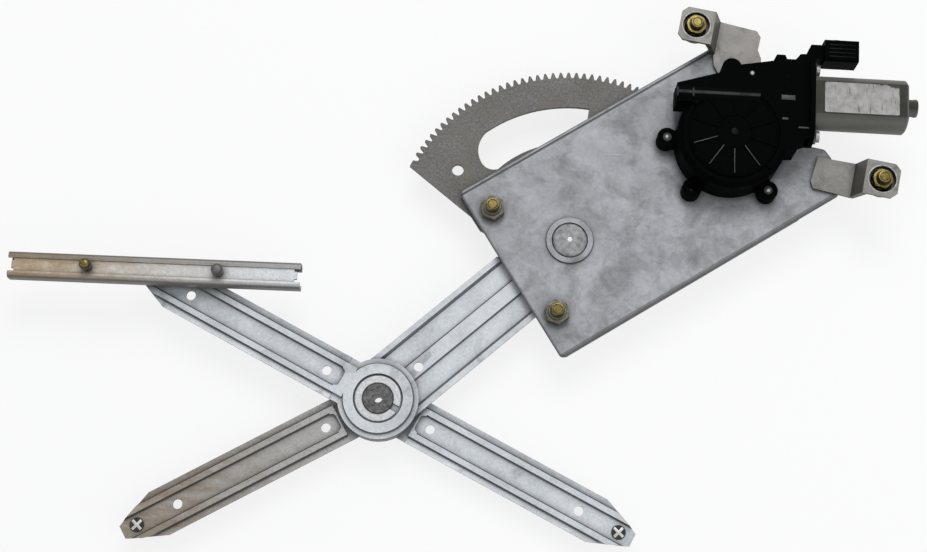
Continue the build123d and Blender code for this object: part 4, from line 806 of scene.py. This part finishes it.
# Painted sheen: paler bars where highlights fall on the housing
pads = (
    ("long_pad", 31.0, 22.6, (8.2, 3.0, 1.2)),
    ("short_pad", 29.4, 9.6, (3.6, 1.4, 1.0)),
    ("corner_pad", 41.5, 4.6, (9.0, 1.0, 0.8)),
)
for name, along, across, size in pads:
    place = motor_point(along, across, PAD_LEVEL)
    pad = cleaned(bar(name, size, PAD_EDGE), place, (0.0, 0.0, MOTOR_TURN))
    hung(pad, "base", "black_plastic", painted_sheen_nylon)
shaft = motor_point(0.0, 0.0, 0.0)
ring_profile = [
    (0.0, 0.0), (0.0, 0.35), (-0.15, 0.5), (-0.45, 0.5), (-0.6, 0.35), (-0.6, 0.0), (0.0, 0.0),
]
for name, radius in (("cover_ring_inner", 10.6), ("cover_ring_outer", 25.3)):
    profile = [(radius + wider, COVER_TOP + rise) for wider, rise in ring_profile]
    ring = turned(name, profile, steps=96, solid=False)
    hung(cleaned(ring, shaft), "base", "black_plastic")
hub = turned("cover_hub", [(2.1, 27.2), (2.1, 27.95), (1.7, 28.2), (1.1, 28.2), (0.8, 27.9)])
hung(cleaned(hub, shaft), "base", "black_plastic", raised_nylon)
# Painted sheen: four cover ribs paler where the light catches them
for angle in SHEEN_RIB_TURNS:
    worn_and_sheen = bar(f"sheen_rib_{-angle:.0f}", SHEEN_RIB_SIZE, RIB_EDGE)
    cleaned(worn_and_sheen, SHEEN_RIB_MIDDLE)
    cleaned(worn_and_sheen, shaft, (0.0, 0.0, angle + MOTOR_TURN))
    hung(worn_and_sheen, "base", "black_plastic", painted_sheen_nylon)
# Painted glints: small bright domes on the screw ends
screw_glint_profile = [(1.35, 0.0), (1.35, 0.3), (0.9, 0.7), (0.4, 0.85)]
for place, ((along, across), level) in enumerate(SCREW_GLINTS):
    tip = turned(f"screw_glint_{place}", screw_glint_profile, steps=32)
    hung(cleaned(tip, motor_point(along, across, level), smooth=50.0), "base", "bright_steel")

# Connector: ribs along its top

for place, across in enumerate(CONNECTOR_RIBS):
    rib = bar(f"connector_rib_{place}", CONNECTOR_RIB_SIZE, RIB_EDGE)
    middle = motor_point(CONNECTOR_ALONG, across, CONNECTOR_LEVEL)
    hung(cleaned(rib, middle, (0.0, 0.0, MOTOR_TURN)), "base", "black_plastic", raised_nylon)

# Motor: the bare label on the can's flat, and the rolled ring of its bearing boss

bpy.ops.object.select_all(action="DESELECT")
bpy.ops.mesh.primitive_plane_add(size=1.0)
label = bpy.context.object
label.name = "label"
edit_all()
bpy.ops.transform.resize(value=(LABEL_SIZE[0] * MM, LABEL_SIZE[1] * MM, 1.0))
bpy.ops.mesh.bevel(offset=LABEL_CORNER * MM, segments=4, affect="VERTICES")
bpy.ops.mesh.select_all(action="SELECT")
thickness = (0.0, 0.0, LABEL_THICKNESS * MM)
bpy.ops.mesh.extrude_region_move(TRANSFORM_OT_translate={"value": thickness})
edit_done()
label = cleaned(label, motor_point(*LABEL_PLACE), (0.0, 0.0, MOTOR_TURN))
hung(label, "base", "can_steel", label_paper)
boss_profile = [
    (5.2, 0.0), (5.35, 0.3), (5.35, 1.6), (5.2, 1.9), (5.1, 1.9), (5.1, 0.0), (5.2, 0.0),
]
boss = turned("bearing_boss_rim", boss_profile, solid=False)
hung(cleaned(boss, motor_point(*BOSS_PLACE), (0.0, 90.0, MOTOR_TURN)), "base", "can_steel")


# Camera: square to the plate but for a slight tilt, as in the photograph

TILT = math.radians(13.0)
DISTANCE = 1050.0
TARGET = (-35.73, -7.25, -6.0)
SENSOR_WIDTH = 36.0
FOCAL_PIXELS = 1778.85
PICTURE_WIDTH = 927.0
forward = Vector((0.0, math.sin(TILT), -math.cos(TILT)))
camera_data = bpy.data.cameras.new("camera")
camera_data.sensor_width = SENSOR_WIDTH
camera_data.lens = FOCAL_PIXELS * SENSOR_WIDTH / PICTURE_WIDTH
camera_data.clip_end = 20.0
camera = bpy.data.objects.new("camera", camera_data)
camera.location = (Vector(TARGET) - forward * DISTANCE) * MM
camera.rotation_euler = (TILT, 0.0, 0.0)
bpy.context.scene.collection.objects.link(camera)
bpy.context.scene.camera = camera


# Floor, world and lamps

def pale_background(tree, lit, share):
    """A mix of the lit shader and what the camera, mirrors and glass see in its place."""
    path = tree.nodes.new("ShaderNodeLightPath")
    seen = path.outputs["Is Camera Ray"]
    for kind in ("Is Glossy Ray", "Is Transmission Ray"):
        either = tree.nodes.new("ShaderNodeMath")
        either.operation = "MAXIMUM"
        tree.links.new(seen, either.inputs[0])
        tree.links.new(path.outputs[kind], either.inputs[1])
        seen = either.outputs[0]
    part = tree.nodes.new("ShaderNodeMath")
    part.operation = "MULTIPLY"
    part.inputs[1].default_value = share
    tree.links.new(seen, part.inputs[0])
    mix = tree.nodes.new("ShaderNodeMixShader")
    tree.links.new(part.outputs[0], mix.inputs[0])
    tree.links.new(lit, mix.inputs[1])
    return mix


FLOOR_GAP = 0.0005
FLOOR_SIZE = 6.0
FLOOR_WHITE_SHARE = 0.8

world = bpy.data.worlds.new("studio")
bpy.context.scene.world = world
world.use_nodes = True
tree = world.node_tree
tree.nodes.clear()
dim = tree.nodes.new("ShaderNodeBackground")
dim.inputs["Color"].default_value = (0.95, 0.97, 1.0, 1.0)
dim.inputs["Strength"].default_value = 0.5
white = tree.nodes.new("ShaderNodeBackground")
white.inputs["Color"].default_value = (1.0, 1.0, 1.0, 1.0)
white.inputs["Strength"].default_value = 1.0
mix = pale_background(tree, dim.outputs[0], 1.0)
tree.links.new(white.outputs[0], mix.inputs[2])
world_end = tree.nodes.new("ShaderNodeOutputWorld")
tree.links.new(mix.outputs[0], world_end.inputs["Surface"])

bpy.ops.object.select_all(action="DESELECT")
bpy.ops.mesh.primitive_plane_add(size=FLOOR_SIZE, location=(0.0, 0.0, lowest - FLOOR_GAP))
floor = bpy.context.object
floor.name = "floor"
paper = bpy.data.materials.new("pale_floor")
paper.use_nodes = True
tree = paper.node_tree
tree.nodes.clear()
matt = tree.nodes.new("ShaderNodeBsdfDiffuse")
matt.inputs["Color"].default_value = (0.86, 0.86, 0.86, 1.0)
glow = tree.nodes.new("ShaderNodeEmission")
glow.inputs["Strength"].default_value = 1.0
mix = pale_background(tree, matt.outputs[0], FLOOR_WHITE_SHARE)
tree.links.new(glow.outputs[0], mix.inputs[2])
paper_end = tree.nodes.new("ShaderNodeOutputMaterial")
tree.links.new(mix.outputs[0], paper_end.inputs["Surface"])
floor.data.materials.append(paper)


def soft_lamp(name, place, size, power):
    """A square soft lamp pointed at the origin, its place and size in metres."""
    data = bpy.data.lights.new(name, "AREA")
    data.size = size
    data.energy = power
    lamp = bpy.data.objects.new(name, data)
    lamp.location = place
    lamp.rotation_euler = (-Vector(place)).to_track_quat("-Z", "Y").to_euler()
    bpy.context.scene.collection.objects.link(lamp)


soft_lamp("key_lamp", (0.1, 0.95, 1.5), 0.9, 14.5)
soft_lamp("fill_lamp", (0.9, -0.6, 1.2), 1.2, 6.0)
bpy.context.scene.view_settings.view_transform = "Standard"
